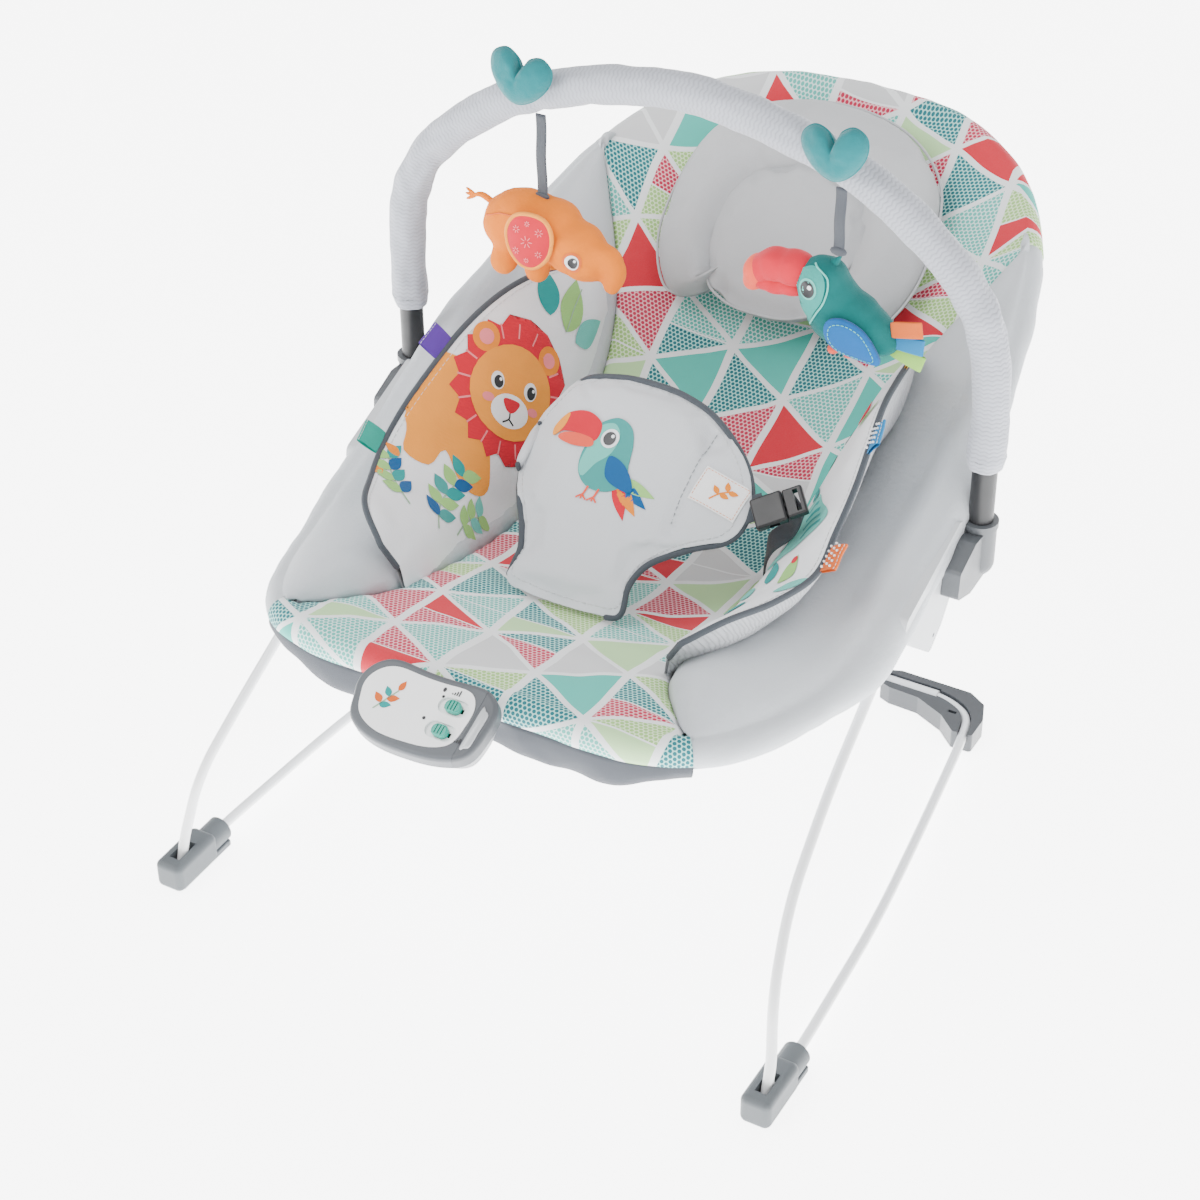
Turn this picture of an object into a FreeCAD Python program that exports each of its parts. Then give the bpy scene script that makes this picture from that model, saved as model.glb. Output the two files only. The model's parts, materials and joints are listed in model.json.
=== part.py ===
import FreeCAD, Part
import math
import os

# Baby bouncer seat. Millimetres, +X to the seated child's left, +Y towards the head, +Z up.
# Everything is drawn with y = 0 at the bend of the front feet and z = 0 on the floor, and
# is moved at the end so that the origin lies on the floor in the middle of the overall depth.

# Driving dimensions
WIRE_R = 4.0                  # spring wire of the frame
FOOT_X = 250.0                # half the spacing of the front feet
WIRE_Z = 12.0                 # height of the floor wires' centre line
BOUNCE_Y, BOUNCE_Z = 2.0, 13.0   # where the rising leg turns in the front foot
CROSS_Y = 475.0               # rear cross tube
CROSS_HALF = 172.0            # half its length
CROSS_R = 5.6                 # its outer radius
SEAT_TUBE_R = 7.0             # tube in the hem of the seat
HUB_X = 218.0                 # parting plane of the hub shells, on the seat tube's axis
HUB_SPLIT_Y = 290.0           # where the front and back seat tubes meet in the hub
BAR_X, BAR_Y = 243.0, 345.0   # foot of the toy bar
BAR_TUBE_R = 7.0
BAR_END_R = 9.25
BAR_PEG_R = 8.0               # peg of the toy bar in its socket
SLEEVE_R = 14.0
SOCKET_TOP = 291.0
TOY_X = 120.5                 # straps of the hanging toys
FIT = 0.05                    # radial clearance of a shaft in its hole
GAP = 0.3                     # clearance between pieces that move past each other
SLING_T = 5.0                 # thickness of the sling

# Hem of the seat: half width and height of the tube's centre line from front to back
RIM = [(0, 30, 256), (120, 31, 256), (163, 48, 254), (191, 92, 246), (209, 150, 240),
       (217, 200, 241), (HUB_X, 245, 254), (HUB_X, 340, 293), (217, 400, 320),
       (212, 450, 343), (202, 500, 366), (186, 550, 389), (155, 600, 412),
       (115, 632, 426), (70, 650, 434), (0, 656, 437)]
RIM_HUB = 7                   # number of the first rim point behind the hub's parting

# Sling: distance from the front, half width, height at the rim and height in the middle
SLING = [(46, 138, 256, 258), (60, 152, 252, 256), (90, 174, 247, 250), (120, 185, 243, 244),
         (150, 193, 240, 237), (200, 200, 241, 221), (250, 201, 256, 207), (300, 201, 273, 206),
         (350, 200, 297, 220), (400, 199, 320, 241), (450, 194, 343, 270), (500, 184, 366, 303),
         (550, 166, 389, 344), (590, 138, 407, 380), (620, 100, 421, 405), (638, 56, 430, 420)]


def vec(x, y, z):
    return FreeCAD.Vector(x, y, z)


def unit(v):
    return v * (1.0 / v.Length)


def interpolate(rows, y, column):
    """Value of one column of rows at depth y, with straight lines between the rows."""
    for low, high in zip(rows, rows[1:]):
        if y <= high[0]:
            t = (y - low[0]) / (high[0] - low[0])
            return low[column] + t * (high[column] - low[column])
    return rows[-1][column]


def rounded_path(points):
    """Straight runs through the points, joined by tangent arcs as large as they allow."""
    corners = [vec(*p) for p in points]
    edges = []
    start = corners[0]
    for before, corner, after in zip(corners, corners[1:], corners[2:]):
        back = unit(before - corner)
        ahead = unit(after - corner)
        half_turn = (math.pi - back.getAngle(ahead)) / 2
        if half_turn < 0.002:
            continue
        reach = 0.45 * min((before - corner).Length, (after - corner).Length)
        radius = reach / math.tan(half_turn)
        first = corner + back * reach
        last = corner + ahead * reach
        inward = unit(back + ahead)
        middle = corner + inward * (radius / math.cos(half_turn) - radius)
        edges.append(Part.LineSegment(start, first).toShape())
        edges.append(Part.Arc(first, middle, last).toShape())
        start = last
    edges.append(Part.LineSegment(start, corners[-1]).toShape())
    return Part.Wire(edges)


def rod(points, radius, bore=0):
    """Round bar along a rounded path, hollow when a bore is given."""
    path = rounded_path(points)
    start = vec(*points[0])
    direction = vec(*points[1]) - start
    shape = pipe(path, start, direction, radius)
    if bore:
        shape = shape.cut(pipe(path, start, direction, bore))
    return shape


def pipe(path, start, direction, radius):
    section = Part.Wire(Part.makeCircle(radius, start, direction))
    return path.makePipeShell([section], True, False)


def box(x0, y0, z0, x1, y1, z1, radius=0, edges="all"):
    shape = Part.makeBox(x1 - x0, y1 - y0, z1 - z0, vec(x0, y0, z0))
    if radius:
        chosen = shape.Edges
        if edges == "upright":
            chosen = [e for e in shape.Edges if abs(e.tangentAt(e.FirstParameter).z) > 0.9]
        shape = shape.makeFillet(radius, chosen)
    return shape


def prism(outline, x0, x1, radius=0):
    """Plate between two planes of constant x, from an outline of (y, z) points."""
    corners = [vec(x0, y, z) for y, z in outline]
    face = Part.Face(Part.makePolygon(corners + corners[:1]))
    shape = face.extrude(vec(x1 - x0, 0, 0))
    if radius:
        long_edges = [e for e in shape.Edges if abs(e.tangentAt(e.FirstParameter).x) > 0.9]
        shape = shape.makeFillet(radius, long_edges)
    return shape


def smooth_loop(points):
    """Flat face inside one closed smooth curve through the points."""
    curve = Part.BSplineCurve()
    curve.interpolate([vec(*p) for p in points], True)
    return Part.Face(Part.Wire(curve.toShape()))


def skin(top, bottom):
    """Closed solid between two smooth surfaces through grids of points."""
    faces = []
    borders = []
    for grid in (top, bottom):
        surface = Part.BSplineSurface()
        surface.interpolate(grid)
        u0, u1, v0, v1 = surface.bounds()
        sides = [surface.uIso(u0), surface.uIso(u1), surface.vIso(v0), surface.vIso(v1)]
        faces.append(surface.toShape())
        borders.append([side.toShape() for side in sides])
    for upper, lower in zip(*borders):
        faces.append(Part.makeRuledSurface(upper, lower))
    shell = Part.makeShell(faces)
    shell.sewShape()
    solid = Part.makeSolid(shell)
    if solid.Volume < 0:
        solid.reverse()
    return solid


def spheroid(centre, half_length, radius):
    """Egg shape, round about an axis along x."""
    if half_length > radius:
        oval = Part.Ellipse(vec(0, 0, 0), half_length, radius)
        half = oval.toShape(0, math.pi)
    else:
        oval = Part.Ellipse(vec(0, radius, 0), vec(-half_length, 0, 0), vec(0, 0, 0))
        half = oval.toShape(-math.pi / 2, math.pi / 2)
    ends = [v.Point for v in half.Vertexes]
    face = Part.Face(Part.Wire([half, Part.makeLine(ends[-1], ends[0])]))
    shape = face.revolve(vec(0, 0, 0), vec(1, 0, 0), 360)
    shape.translate(vec(*centre))
    return shape


def placed(shape, origin, x_axis, z_axis):
    """Shape drawn about (0, 0, 0), turned so that its x and z lie along the given axes."""
    y_axis = z_axis.cross(x_axis)
    turn = FreeCAD.Rotation(x_axis, y_axis, z_axis, "ZXY")
    copy = shape.copy()
    copy.Placement = FreeCAD.Placement(origin, turn)
    return copy


def mirrored(shape):
    return shape.mirror(vec(0, 0, 0), vec(1, 0, 0))


parts = {}


def add(name, shape):
    parts[name] = shape


def add_pair(name, shape):
    """A right-hand piece and its mirror image."""
    add(name + "_right", shape)
    add(name + "_left", mirrored(shape))


# Floor frame ------------------------------------------------------------------------------

FLOOR_START_Y = 11.0
FLOOR_WIRE = [(FOOT_X, FLOOR_START_Y, WIRE_Z), (FOOT_X, 60, WIRE_Z), (242, 200, WIRE_Z),
              (230, 300, WIRE_Z), (213, 425, WIRE_Z), (205, 462, WIRE_Z),
              (180, CROSS_Y, WIRE_Z), (120, CROSS_Y, WIRE_Z)]


def rear_cross_tube():
    outer = Part.makeCylinder(CROSS_R, 2 * CROSS_HALF, vec(-CROSS_HALF, CROSS_Y, WIRE_Z), vec(1, 0, 0))
    return outer.cut(Part.makeCylinder(WIRE_R + FIT, 2 * CROSS_HALF,
                                       vec(-CROSS_HALF, CROSS_Y, WIRE_Z), vec(1, 0, 0)))


def front_foot():
    """Rubber boot: the floor wire plugs in behind, the leg turns in a slot open at the top."""
    body = box(FOOT_X - 12, -16, 0, FOOT_X + 12, 34, 25, 5.5)
    barrel = Part.makeCylinder(10.5, 26, vec(FOOT_X, 26, WIRE_Z), vec(0, 1, 0))
    sole = box(FOOT_X - 10.5, -10, 0, FOOT_X + 10.5, 51, 6, 1.5)
    boot = body.fuse([barrel.common(box(0, 0, 0, 400, 100, 60)), sole]).removeSplitter()
    slot = box(FOOT_X - 4.7, -5.5, BOUNCE_Z, FOOT_X + 4.7, 16, 40)
    seat = Part.makeSphere(WIRE_R + 0.6, vec(FOOT_X, BOUNCE_Y, BOUNCE_Z))
    bore = Part.makeCylinder(WIRE_R + FIT, 60, vec(FOOT_X, BOUNCE_Y, WIRE_Z), vec(0, 1, 0))
    return boot.cut(slot).cut(seat).cut(bore)


def rear_foot():
    """Clip that hooks under the rear corner, with a channel open at the top for the wire."""
    outline = [(121, 476), (124, 466), (134, 462), (160, 461), (186, 449), (202, 434),
               (219, 435), (219, 459), (212, 478), (196, 488), (134, 488), (124, 484)]
    corners = [vec(x, y, 0) for x, y in outline]
    body = Part.Face(Part.makePolygon(corners + corners[:1])).extrude(vec(0, 0, 17))
    flat_edges = [e for e in body.Edges if abs(e.tangentAt(e.FirstParameter).z) < 0.1
                  and e.CenterOfMass.z > 16]
    upright = [e for e in body.Edges if abs(e.tangentAt(e.FirstParameter).z) > 0.9]
    body = body.makeFillet(3.0, upright)
    clear = WIRE_R + FIT
    for height in (WIRE_Z, 14.0, 16.0, 18.0):
        route = [(x, y, height) for x, y, z in FLOOR_WIRE]
        body = body.cut(rod(route, clear))
    for height in (WIRE_Z, 15.0, 18.0):
        channel = Part.makeCylinder(CROSS_R + FIT, 80, vec(CROSS_HALF + 1 - 80, CROSS_Y, height),
                                    vec(1, 0, 0))
        body = body.cut(channel)
    body = body.cut(Part.makeCylinder(1.7, 30, vec(150, CROSS_Y, -1), vec(0, 0, 1)))
    head = Part.makeCylinder(3.6, 4, vec(150, CROSS_Y, -1), vec(0, 0, 1))
    window = box(189, 455.5, 11, 196, 458.5, 30)
    return body.cut(head).cut(window)


def rear_foot_screws():
    """Self-tapping screws that hold the clips to the cross tube from below."""
    screw = Part.makeCylinder(1.6, 5, vec(150, CROSS_Y, 1.2), vec(0, 0, 1))
    head = Part.makeCylinder(3.4, 2.2, vec(150, CROSS_Y, 0.6), vec(0, 0, 1))
    slot = box(147, CROSS_Y - 0.4, 0.5, 153, CROSS_Y + 0.4, 1.4)
    screw = screw.fuse(head).cut(slot)
    return Part.makeCompound([screw, mirrored(screw)])


# Rising legs and hubs ---------------------------------------------------------------------

LEG_WIRE = [(FOOT_X, BOUNCE_Y, BOUNCE_Z), (FOOT_X, 10, 36), (242, 26, 88), (231, 70, 132),
            (225, 140, 177), (225, 192, 214), (225, 228, 240), (225, 274, 250)]
HUB = [(234, 258), (246, 238), (283, 208), (302, 222), (316, 240), (330, 256), (330, 300), (236, 266)]
HUB_INSIDE = [(240, 257), (248, 243), (282, 213), (299, 225), (313, 243), (326, 258), (326, 292),
              (240, 262)]
HUB_SCREWS = [(288, 221), (317, 260)]


def leg_wire():
    return rod(LEG_WIRE, WIRE_R).fuse(Part.makeSphere(WIRE_R, vec(*LEG_WIRE[0])))


def hub_cutters():
    """Bores for the seat tube and the leg wire."""
    half_rim = RIM[4:10]
    return [rod(half_rim, SEAT_TUBE_R + FIT), rod(LEG_WIRE[4:], WIRE_R + FIT)]


def hub_pocket(x0, x1):
    """Hollow of a hub shell, which leaves walls around the bores and bosses for the screws."""
    pocket = prism(HUB_INSIDE, x0, x1, 4)
    pocket = pocket.cut(rod(RIM[4:10], SEAT_TUBE_R + 2.5)).cut(rod(LEG_WIRE[4:], WIRE_R + 2.5))
    for y, z in HUB_SCREWS:
        pocket = pocket.cut(Part.makeCylinder(4.2, 40, vec(x0 - 1, y, z), vec(1, 0, 0)))
    return pocket


def hub_shell(x0, x1, pocket_x0, pocket_x1, screw_radius):
    shape = prism(HUB, x0, x1, 6).cut(hub_pocket(pocket_x0, pocket_x1))
    for cutter in hub_cutters():
        shape = shape.cut(cutter)
    for y, z in HUB_SCREWS:
        shape = shape.cut(Part.makeCylinder(screw_radius, x1 - x0 + 2, vec(x0 - 1, y, z), vec(1, 0, 0)))
    return shape


def hub_screws():
    pieces = []
    for y, z in HUB_SCREWS:
        shank = Part.makeCylinder(1.8, 24, vec(203.4, y, z), vec(1, 0, 0))
        head = Part.makeCylinder(3.8, 2.4, vec(201.0, y, z), vec(1, 0, 0))
        cross = box(200.5, y - 2.4, z - 0.5, 202, y + 2.4, z + 0.5)
        cross = cross.fuse(box(200.5, y - 0.5, z - 2.4, 202, y + 0.5, z + 2.4))
        screw = shank.fuse(head).cut(cross)
        pieces += [screw, mirrored(screw)]
    return Part.makeCompound(pieces)


def toy_bar_socket():
    """Elbow on the outside of the hub, with an upright bore for the toy bar's peg."""
    cup = Part.makeCylinder(12.5, SOCKET_TOP - 256, vec(BAR_X, BAR_Y, 256), vec(0, 0, 1))
    cup = cup.fuse(Part.makeSphere(12.5, vec(BAR_X, BAR_Y, 256)))
    rim = Part.makeCylinder(13.4, 5, vec(BAR_X, BAR_Y, SOCKET_TOP - 5), vec(0, 0, 1))
    arm = prism([(294, 252), (318, 244), (345, 246), (345, 284), (322, 285), (296, 274)], 236.3, 250, 4)
    bore = Part.makeCylinder(BAR_PEG_R + FIT, 60, vec(BAR_X, BAR_Y, 258), vec(0, 0, 1))
    return cup.fuse([rim, arm]).removeSplitter().cut(bore)


# Seat -------------------------------------------------------------------------------------

def full_rim(first, last):
    """Rim points of both sides, joined across the middle."""
    side = RIM[first:last]
    other = [(-x, y, z) for x, y, z in reversed(side) if x > 0]
    if first == 0:
        return other + side
    return side + other


def front_seat_tube():
    end = (HUB_X, HUB_SPLIT_Y - 1, 254 + (HUB_SPLIT_Y - 1 - 245) * 39 / 95)
    mirror_end = (-HUB_X, end[1], end[2])
    return rod([mirror_end] + full_rim(0, RIM_HUB)[0:] + [end], SEAT_TUBE_R, SEAT_TUBE_R - 1.2)


def back_seat_tube():
    end = (HUB_X, HUB_SPLIT_Y + 1, 254 + (HUB_SPLIT_Y + 1 - 245) * 39 / 95)
    mirror_end = (-HUB_X, end[1], end[2])
    return rod([end] + full_rim(RIM_HUB, len(RIM)) + [mirror_end], SEAT_TUBE_R, SEAT_TUBE_R - 1.2)


def sling_height(x, y):
    """Height of the sling's top side: a hammock, steep at its edges."""
    half = interpolate(SLING, y, 1)
    rim = interpolate(SLING, y, 2)
    middle = interpolate(SLING, y, 3)
    return middle + (rim - middle) * min(1.0, abs(x) / half) ** 2.4


def sling_skin(stations, lift, thickness):
    """Part of the sling, or a layer on it, from (depth, half width) stations."""
    steps = [i / 6 for i in range(-6, 7)]
    top = []
    bottom = []
    for y, half in stations:
        row = [vec(half * s, y, sling_height(half * s, y) + lift + thickness) for s in steps]
        top.append(row)
        bottom.append([p - vec(0, 0, thickness) for p in row])
    return skin(top, bottom)


def seat_cover():
    return sling_skin([(row[0], row[1]) for row in SLING], -SLING_T, SLING_T)


PANEL = [(48, 136), (70, 126), (96, 112), (120, 103), (170, 102), (230, 102), (290, 102), (350, 103),
         (400, 106), (440, 110), (470, 118), (500, 138), (530, 152), (555, 152), (590, 128), (618, 90)]


def seat_panel():
    return sling_skin(PANEL, 1.8, 2.4)


# Side bolsters: seam on the seat, then the free upper edge, from front to back
BOLSTER = [((106, 118, 259), (122, 114, 286)), ((106, 140, 253), (147, 133, 303)),
           ((106, 165, 247), (165, 167, 300)), ((107, 200, 240), (178, 205, 303)),
           ((107, 235, 234), (177, 235, 321)), ((107, 275, 233), (175, 273, 338)),
           ((108, 305, 238), (169, 306, 353)), ((110, 345, 250), (163, 343, 363)),
           ((115, 385, 268), (157, 380, 362)), ((120, 420, 290), (147, 420, 353)),
           ((126, 450, 312), (134, 452, 338))]


def side_bolster():
    steps = [i / 5 for i in range(6)]
    top = []
    bottom = []
    for seam, edge in BOLSTER:
        low, high = vec(*seam), vec(*edge)
        rise = high - low
        outward = unit(vec(rise.z, 0, -rise.x))
        row = [low + rise * s for s in steps]
        top.append(row)
        bottom.append([p + outward * (3 + 11 * math.sin(math.pi * s)) for p, s in zip(row, steps)])
    return skin(top, bottom)


BACK_DIRECTION = unit(vec(0, 0.77, 0.64))
BACK_NORMAL = unit(vec(0, -0.64, 0.77))
PILLOW_CENTRE = vec(0, 535, 385)
PILLOW = [(0, 100), (58, 88), (99, 53), (112, 0), (108, -46), (86, -82), (60, -80), (40, -62),
          (0, -56), (-40, -62), (-60, -80), (-86, -82), (-108, -46), (-112, 0), (-99, 53), (-58, 88)]
PILLOW_INNER = [(0, 44), (44, 30), (62, -10), (52, -66), (30, -84), (0, -88), (-30, -84),
                (-52, -66), (-62, -10), (-44, 30)]


def head_pillow():
    body = smooth_loop([(x, s, 0) for x, s in PILLOW]).extrude(vec(0, 0, 40))
    hollow = smooth_loop([(x * 1.012, s * 1.012, 14) for x, s in PILLOW_INNER]).extrude(vec(0, 0, 40))
    return placed(body.cut(hollow), PILLOW_CENTRE - BACK_NORMAL * 22, vec(1, 0, 0), BACK_NORMAL)


def head_pillow_inner():
    body = smooth_loop([(x, s, 0) for x, s in PILLOW_INNER]).extrude(vec(0, 0, 20))
    return placed(body, PILLOW_CENTRE - BACK_NORMAL * 7, vec(1, 0, 0), BACK_NORMAL)


PAD_DIRECTION = vec(0, 0.8, 0.6)
PAD_NORMAL = vec(0, -0.6, 0.8)
PAD_FOOT = vec(0, 160, 246)
PAD_T = 9.0
PAD_SIDE = [(26, 0), (46, 5), (45, 28), (53, 48), (76, 68), (98, 82), (105, 98), (102, 120), (86, 144),
            (56, 166), (28, 175)]


# Left edge of the pad, where its arm turns down behind it
PAD_LEFT = [(-28, 175), (-56, 166), (-75, 141), (-80, 120), (-80, 98), (-74, 80), (-64, 64), (-54, 48),
            (-46, 28), (-46, 5), (-26, 0)]
ARM_ROOT = PAD_FOOT + vec(-76.5, 0, 0) + PAD_DIRECTION * 108 + PAD_NORMAL * 4.5
STRAP_FOOT = vec(98, 290, 227)
DROP_AXIS = unit(vec(-STRAP_FOOT.x, STRAP_FOOT.y, STRAP_FOOT.z) - ARM_ROOT)
DROP_NORMAL = unit(vec(1, 0, 0) - DROP_AXIS * DROP_AXIS.x)
DROP_L = 26.0


def harness_pad():
    outline = [(0, 0)] + PAD_SIDE + [(0, 177)] + PAD_LEFT
    body = smooth_loop([(x, s, 0) for x, s in outline]).extrude(vec(0, 0, PAD_T))
    body = placed(body, PAD_FOOT, vec(1, 0, 0), PAD_NORMAL)
    arm = box(0, -17, -3.5, DROP_L, 17, 3.5, 2)
    return body.fuse(placed(arm, ARM_ROOT, DROP_AXIS, DROP_NORMAL)).removeSplitter()


# Buckles, each drawn from its start on the pad with x running out along the strap
BUCKLE_AXIS = unit(vec(0.8, 0.48, 0.36))
BUCKLES = {
    "right": (PAD_FOOT + vec(111.5, 0, 0) + PAD_DIRECTION * 104 + PAD_NORMAL * (PAD_T / 2),
              BUCKLE_AXIS, PAD_NORMAL),
    "left": (ARM_ROOT + DROP_AXIS * (DROP_L + 0.2), DROP_AXIS, DROP_NORMAL),
}
SOCKET_L, SOCKET_W, SOCKET_T = 24.0, 24.0, 8.0
PLUG_PRONG_L = 14.0


def buckle_socket(side):
    shell = box(0, -SOCKET_W / 2, -SOCKET_T / 2, SOCKET_L, SOCKET_W / 2, SOCKET_T / 2, 2)
    throat = box(SOCKET_L - PLUG_PRONG_L - 1, -8.5, -2.2, SOCKET_L + 1, 8.5, 2.2)
    window = box(9.5, -15, -1.8, 17, 15, 1.8)
    return placed(shell.cut(throat).cut(window), *BUCKLES[side])


def buckle_plug(side):
    base = box(SOCKET_L + GAP, -11, -3.6, SOCKET_L + 15, 11, 3.6, 1.5)
    slot = box(SOCKET_L + 8, -8.5, -6, SOCKET_L + 11.5, 8.5, 6)
    tip = SOCKET_L - PLUG_PRONG_L
    prongs = box(tip, -8, -1.7, SOCKET_L + 2, -5, 1.7).fuse(box(tip, 5, -1.7, SOCKET_L + 2, 8, 1.7))
    guide = box(tip + 2, -1.6, -1.7, SOCKET_L + 2, 1.6, 1.7)
    return placed(base.cut(slot).fuse([prongs, guide]), *BUCKLES[side])


def waist_strap_right():
    """Webbing from a slot at the bolster's seam up to the plug's bar."""
    start, axis, normal = BUCKLES["right"]
    top = start + axis * (SOCKET_L + 9.8) - normal * 7.6
    foot = STRAP_FOOT
    outward = unit(vec(foot.x - top.x, foot.y - top.y, 0))
    across = vec(-outward.y, outward.x, 0)
    middle = top * 0.45 + foot * 0.55 - outward * 6
    face_points = [top, middle, foot]
    thickness = outward * 1.6
    ribbon = []
    for a, b in zip(face_points, face_points[1:]):
        corners = [a - across * 8, a + across * 8, b + across * 8, b - across * 8]
        ribbon.append(Part.Face(Part.makePolygon(corners + corners[:1])).extrude(thickness))
    return ribbon[0].fuse(ribbon[1]).removeSplitter()


def waist_strap_left():
    """Short webbing from the hanging plug straight down to the seam."""
    start, axis, normal = BUCKLES["left"]
    length = (vec(-STRAP_FOOT.x, STRAP_FOOT.y, STRAP_FOOT.z) - start).Length
    return placed(box(SOCKET_L + 15.2, -8, -0.8, length, 8, 0.8), start, axis, normal)


def under_panel():
    """Cloth below the front hem, with a cut-out behind the control unit."""
    line = [(13, 250), (17, 243), (30, 239), (64, 236)]
    lower = [(y, z - 2.5) for y, z in reversed(line)]
    panel = prism(line + lower, -128, 128)
    return panel.cut(box(-60, 0, 200, 60, 26, 300)).cut(box(-20, 0, 200, 20, 48, 300))


# Ribbon tags on the bolsters' edges: side, station along the edge
TAGS = [(-1, 5, 0.35), (-1, 2, 0.9), (1, 6, 0.0), (1, 3, 0.4), (1, 8, 0.6)]


def ribbon_tags():
    loops = []
    for side, station, part_way in TAGS:
        a = vec(*BOLSTER[station][1])
        b = vec(*BOLSTER[station + 1][1])
        root = a + (b - a) * part_way + vec(5.5, 0, -2)
        along = unit(b - a)
        normal = unit(along.cross(vec(0.9, 0, -0.42)))
        out = unit(normal.cross(along)) * -1
        if out.x < 0:
            out = out * -1
        tag = box(0, -11, -1.2, 18, 11, 1.2, 1)
        tag = placed(tag, root, out, unit(out.cross(along)))
        loops.append(tag if side > 0 else mirrored(tag))
    return Part.makeCompound(loops)


# Control unit, drawn about the centre of its face: x across, y up the face, z out of it ----

UNIT_TILT = math.radians(65)
UNIT_CENTRE = vec(0, -25, 277)
UNIT_H, UNIT_D = 60.0, 38.0
BEZEL_D = 11.0
WALL = 2.0
CAP_X = 36.5                  # where the end cap starts
UNIT_EDGE = [(-54, 0), (-52, 19), (-42, 28.5), (-20, 30), (18, 30), (40, 28.5), (49, 19), (50, 0),
             (45, -20), (28, -29), (0, -32), (-30, -29), (-48, -18)]
# Back of the case, point by point behind the edge: it narrows, most at the sides and below
BACK_EDGE = [(-52, 2), (-50, 19), (-41, 28), (-18, 29.5), (14, 29.5), (30, 27.5), (37, 18), (38, 2),
             (34, -11), (22, -16.5), (-2, -18.5), (-28, -17.5), (-46, -12)]
FACE_EDGE = [(-47.5, 0), (-45.5, 15), (-37, 22.5), (-18, 24), (12, 24), (29, 22), (34, 14), (34.5, 0),
             (31, -15), (18, -22.5), (-2, -25), (-28, -23), (-42, -14)]
FACE_T = 3.0
SWITCHES = {"volume_switch": (20.0, 9.5), "vibration_switch": (20.0, -9.5)}
KNOB_W, KNOB_H = 12.0, 9.0
RECESS_W, RECESS_H = 23.0, 12.5
UNIT_NORMAL = vec(0, -math.cos(UNIT_TILT), math.sin(UNIT_TILT))


def in_unit(shape):
    return placed(shape, UNIT_CENTRE, vec(1, 0, 0), UNIT_NORMAL)


def shrunk(points, inset, z):
    """The points of a closed edge moved in towards its middle, at height z."""
    x0, x1 = min(x for x, y in points), max(x for x, y in points)
    y0, y1 = min(y for x, y in points), max(y for x, y in points)
    mid_x, mid_y = (x0 + x1) / 2, (y0 + y1) / 2
    kx, ky = 1 - 2 * inset / (x1 - x0), 1 - 2 * inset / (y1 - y0)
    return [(mid_x + (x - mid_x) * kx, mid_y + (y - mid_y) * ky, z) for x, y in points]


def slab(points, inset, z0, z1):
    return smooth_loop(shrunk(points, inset, z0)).extrude(vec(0, 0, z1 - z0))


def narrowing(inset, z0, z1):
    """Solid from the back edge at z0 to the full edge at z1."""
    wires = [smooth_loop(shrunk(BACK_EDGE, inset, z0)).OuterWire,
             smooth_loop(shrunk(UNIT_EDGE, inset, z1)).OuterWire]
    return Part.makeLoft(wires, True, True)


DOOR = (-40.0, 3.0, -9.0, 24.0)   # x0, x1, y0, y1 of the battery door's opening
DOOR_SCREW = (-18.0, 6.5)
SPEAKER_X, SPEAKER_R = 15.0, 9.0


def unit_back_case():
    shell = narrowing(0, -UNIT_D, -BEZEL_D - 0.1)
    shell = shell.cut(narrowing(WALL, -UNIT_D + WALL, -BEZEL_D - 0.1))
    opening = box(DOOR[0], DOOR[2], -UNIT_D - 1, DOOR[1], DOOR[3], -UNIT_D + WALL + 1)
    sound = [Part.makeCylinder(1.2, 6, vec(SPEAKER_X + 5 * math.cos(a), 5 * math.sin(a), -UNIT_D - 1))
             for a in [i * math.pi / 3 for i in range(6)]]
    return in_unit(shell.cut(opening).cut(Part.makeCompound(sound)))


def battery_door():
    lid = box(DOOR[0] + 0.4, DOOR[2] + 0.4, -UNIT_D + 0.2, DOOR[1] - 0.4, DOOR[3] - 0.4,
              -UNIT_D + WALL)
    hole = Part.makeCylinder(1.6, 10, vec(*DOOR_SCREW, -UNIT_D - 1))
    return in_unit(lid.cut(hole))


def battery_door_screw():
    x, y = DOOR_SCREW
    head = Part.makeCylinder(2.8, 1.4, vec(x, y, -UNIT_D - 1.3))
    shank = Part.makeCylinder(1.5, 3.4, vec(x, y, -UNIT_D))
    slot = box(x - 4, y - 0.4, -UNIT_D - 1.5, x + 4, y + 0.4, -UNIT_D - 0.7)
    return in_unit(head.fuse(shank).cut(slot))


CELL_R, CELL_X, CELL_L, CELL_Z = 6.6, -42.0, 46.5, -25.3


def batteries():
    """Three round cells side by side."""
    rows = (-7.6, 6.1, 19.8)
    cells = [Part.makeCylinder(CELL_R, CELL_L, vec(CELL_X, y, CELL_Z), vec(1, 0, 0)) for y in rows]
    caps = [Part.makeCylinder(2.6, 1, vec(CELL_X + CELL_L, y, CELL_Z), vec(1, 0, 0)) for y in rows]
    return in_unit(Part.makeCompound([c.fuse(k) for c, k in zip(cells, caps)]))


def speaker():
    basket = Part.makeCylinder(SPEAKER_R, 4, vec(SPEAKER_X, 0, -UNIT_D + WALL + 0.2))
    magnet = Part.makeCylinder(6, 3, vec(SPEAKER_X, 0, -UNIT_D + WALL + 4.2))
    return in_unit(basket.fuse(magnet))


def circuit_board():
    board = box(-40, -18, -16.6, 29, 21, -15)
    chip = box(-30, -8, -15, -16, 6, -13)
    contacts = [box(x - 4, y - 2, -15, x + 4, y + 2, -12.6) for x, y in SWITCHES.values()]
    return in_unit(board.fuse([chip] + contacts))


MOTOR_X, MOTOR_Z, MOTOR_R = 31.0, -24.4, 6.5


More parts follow.
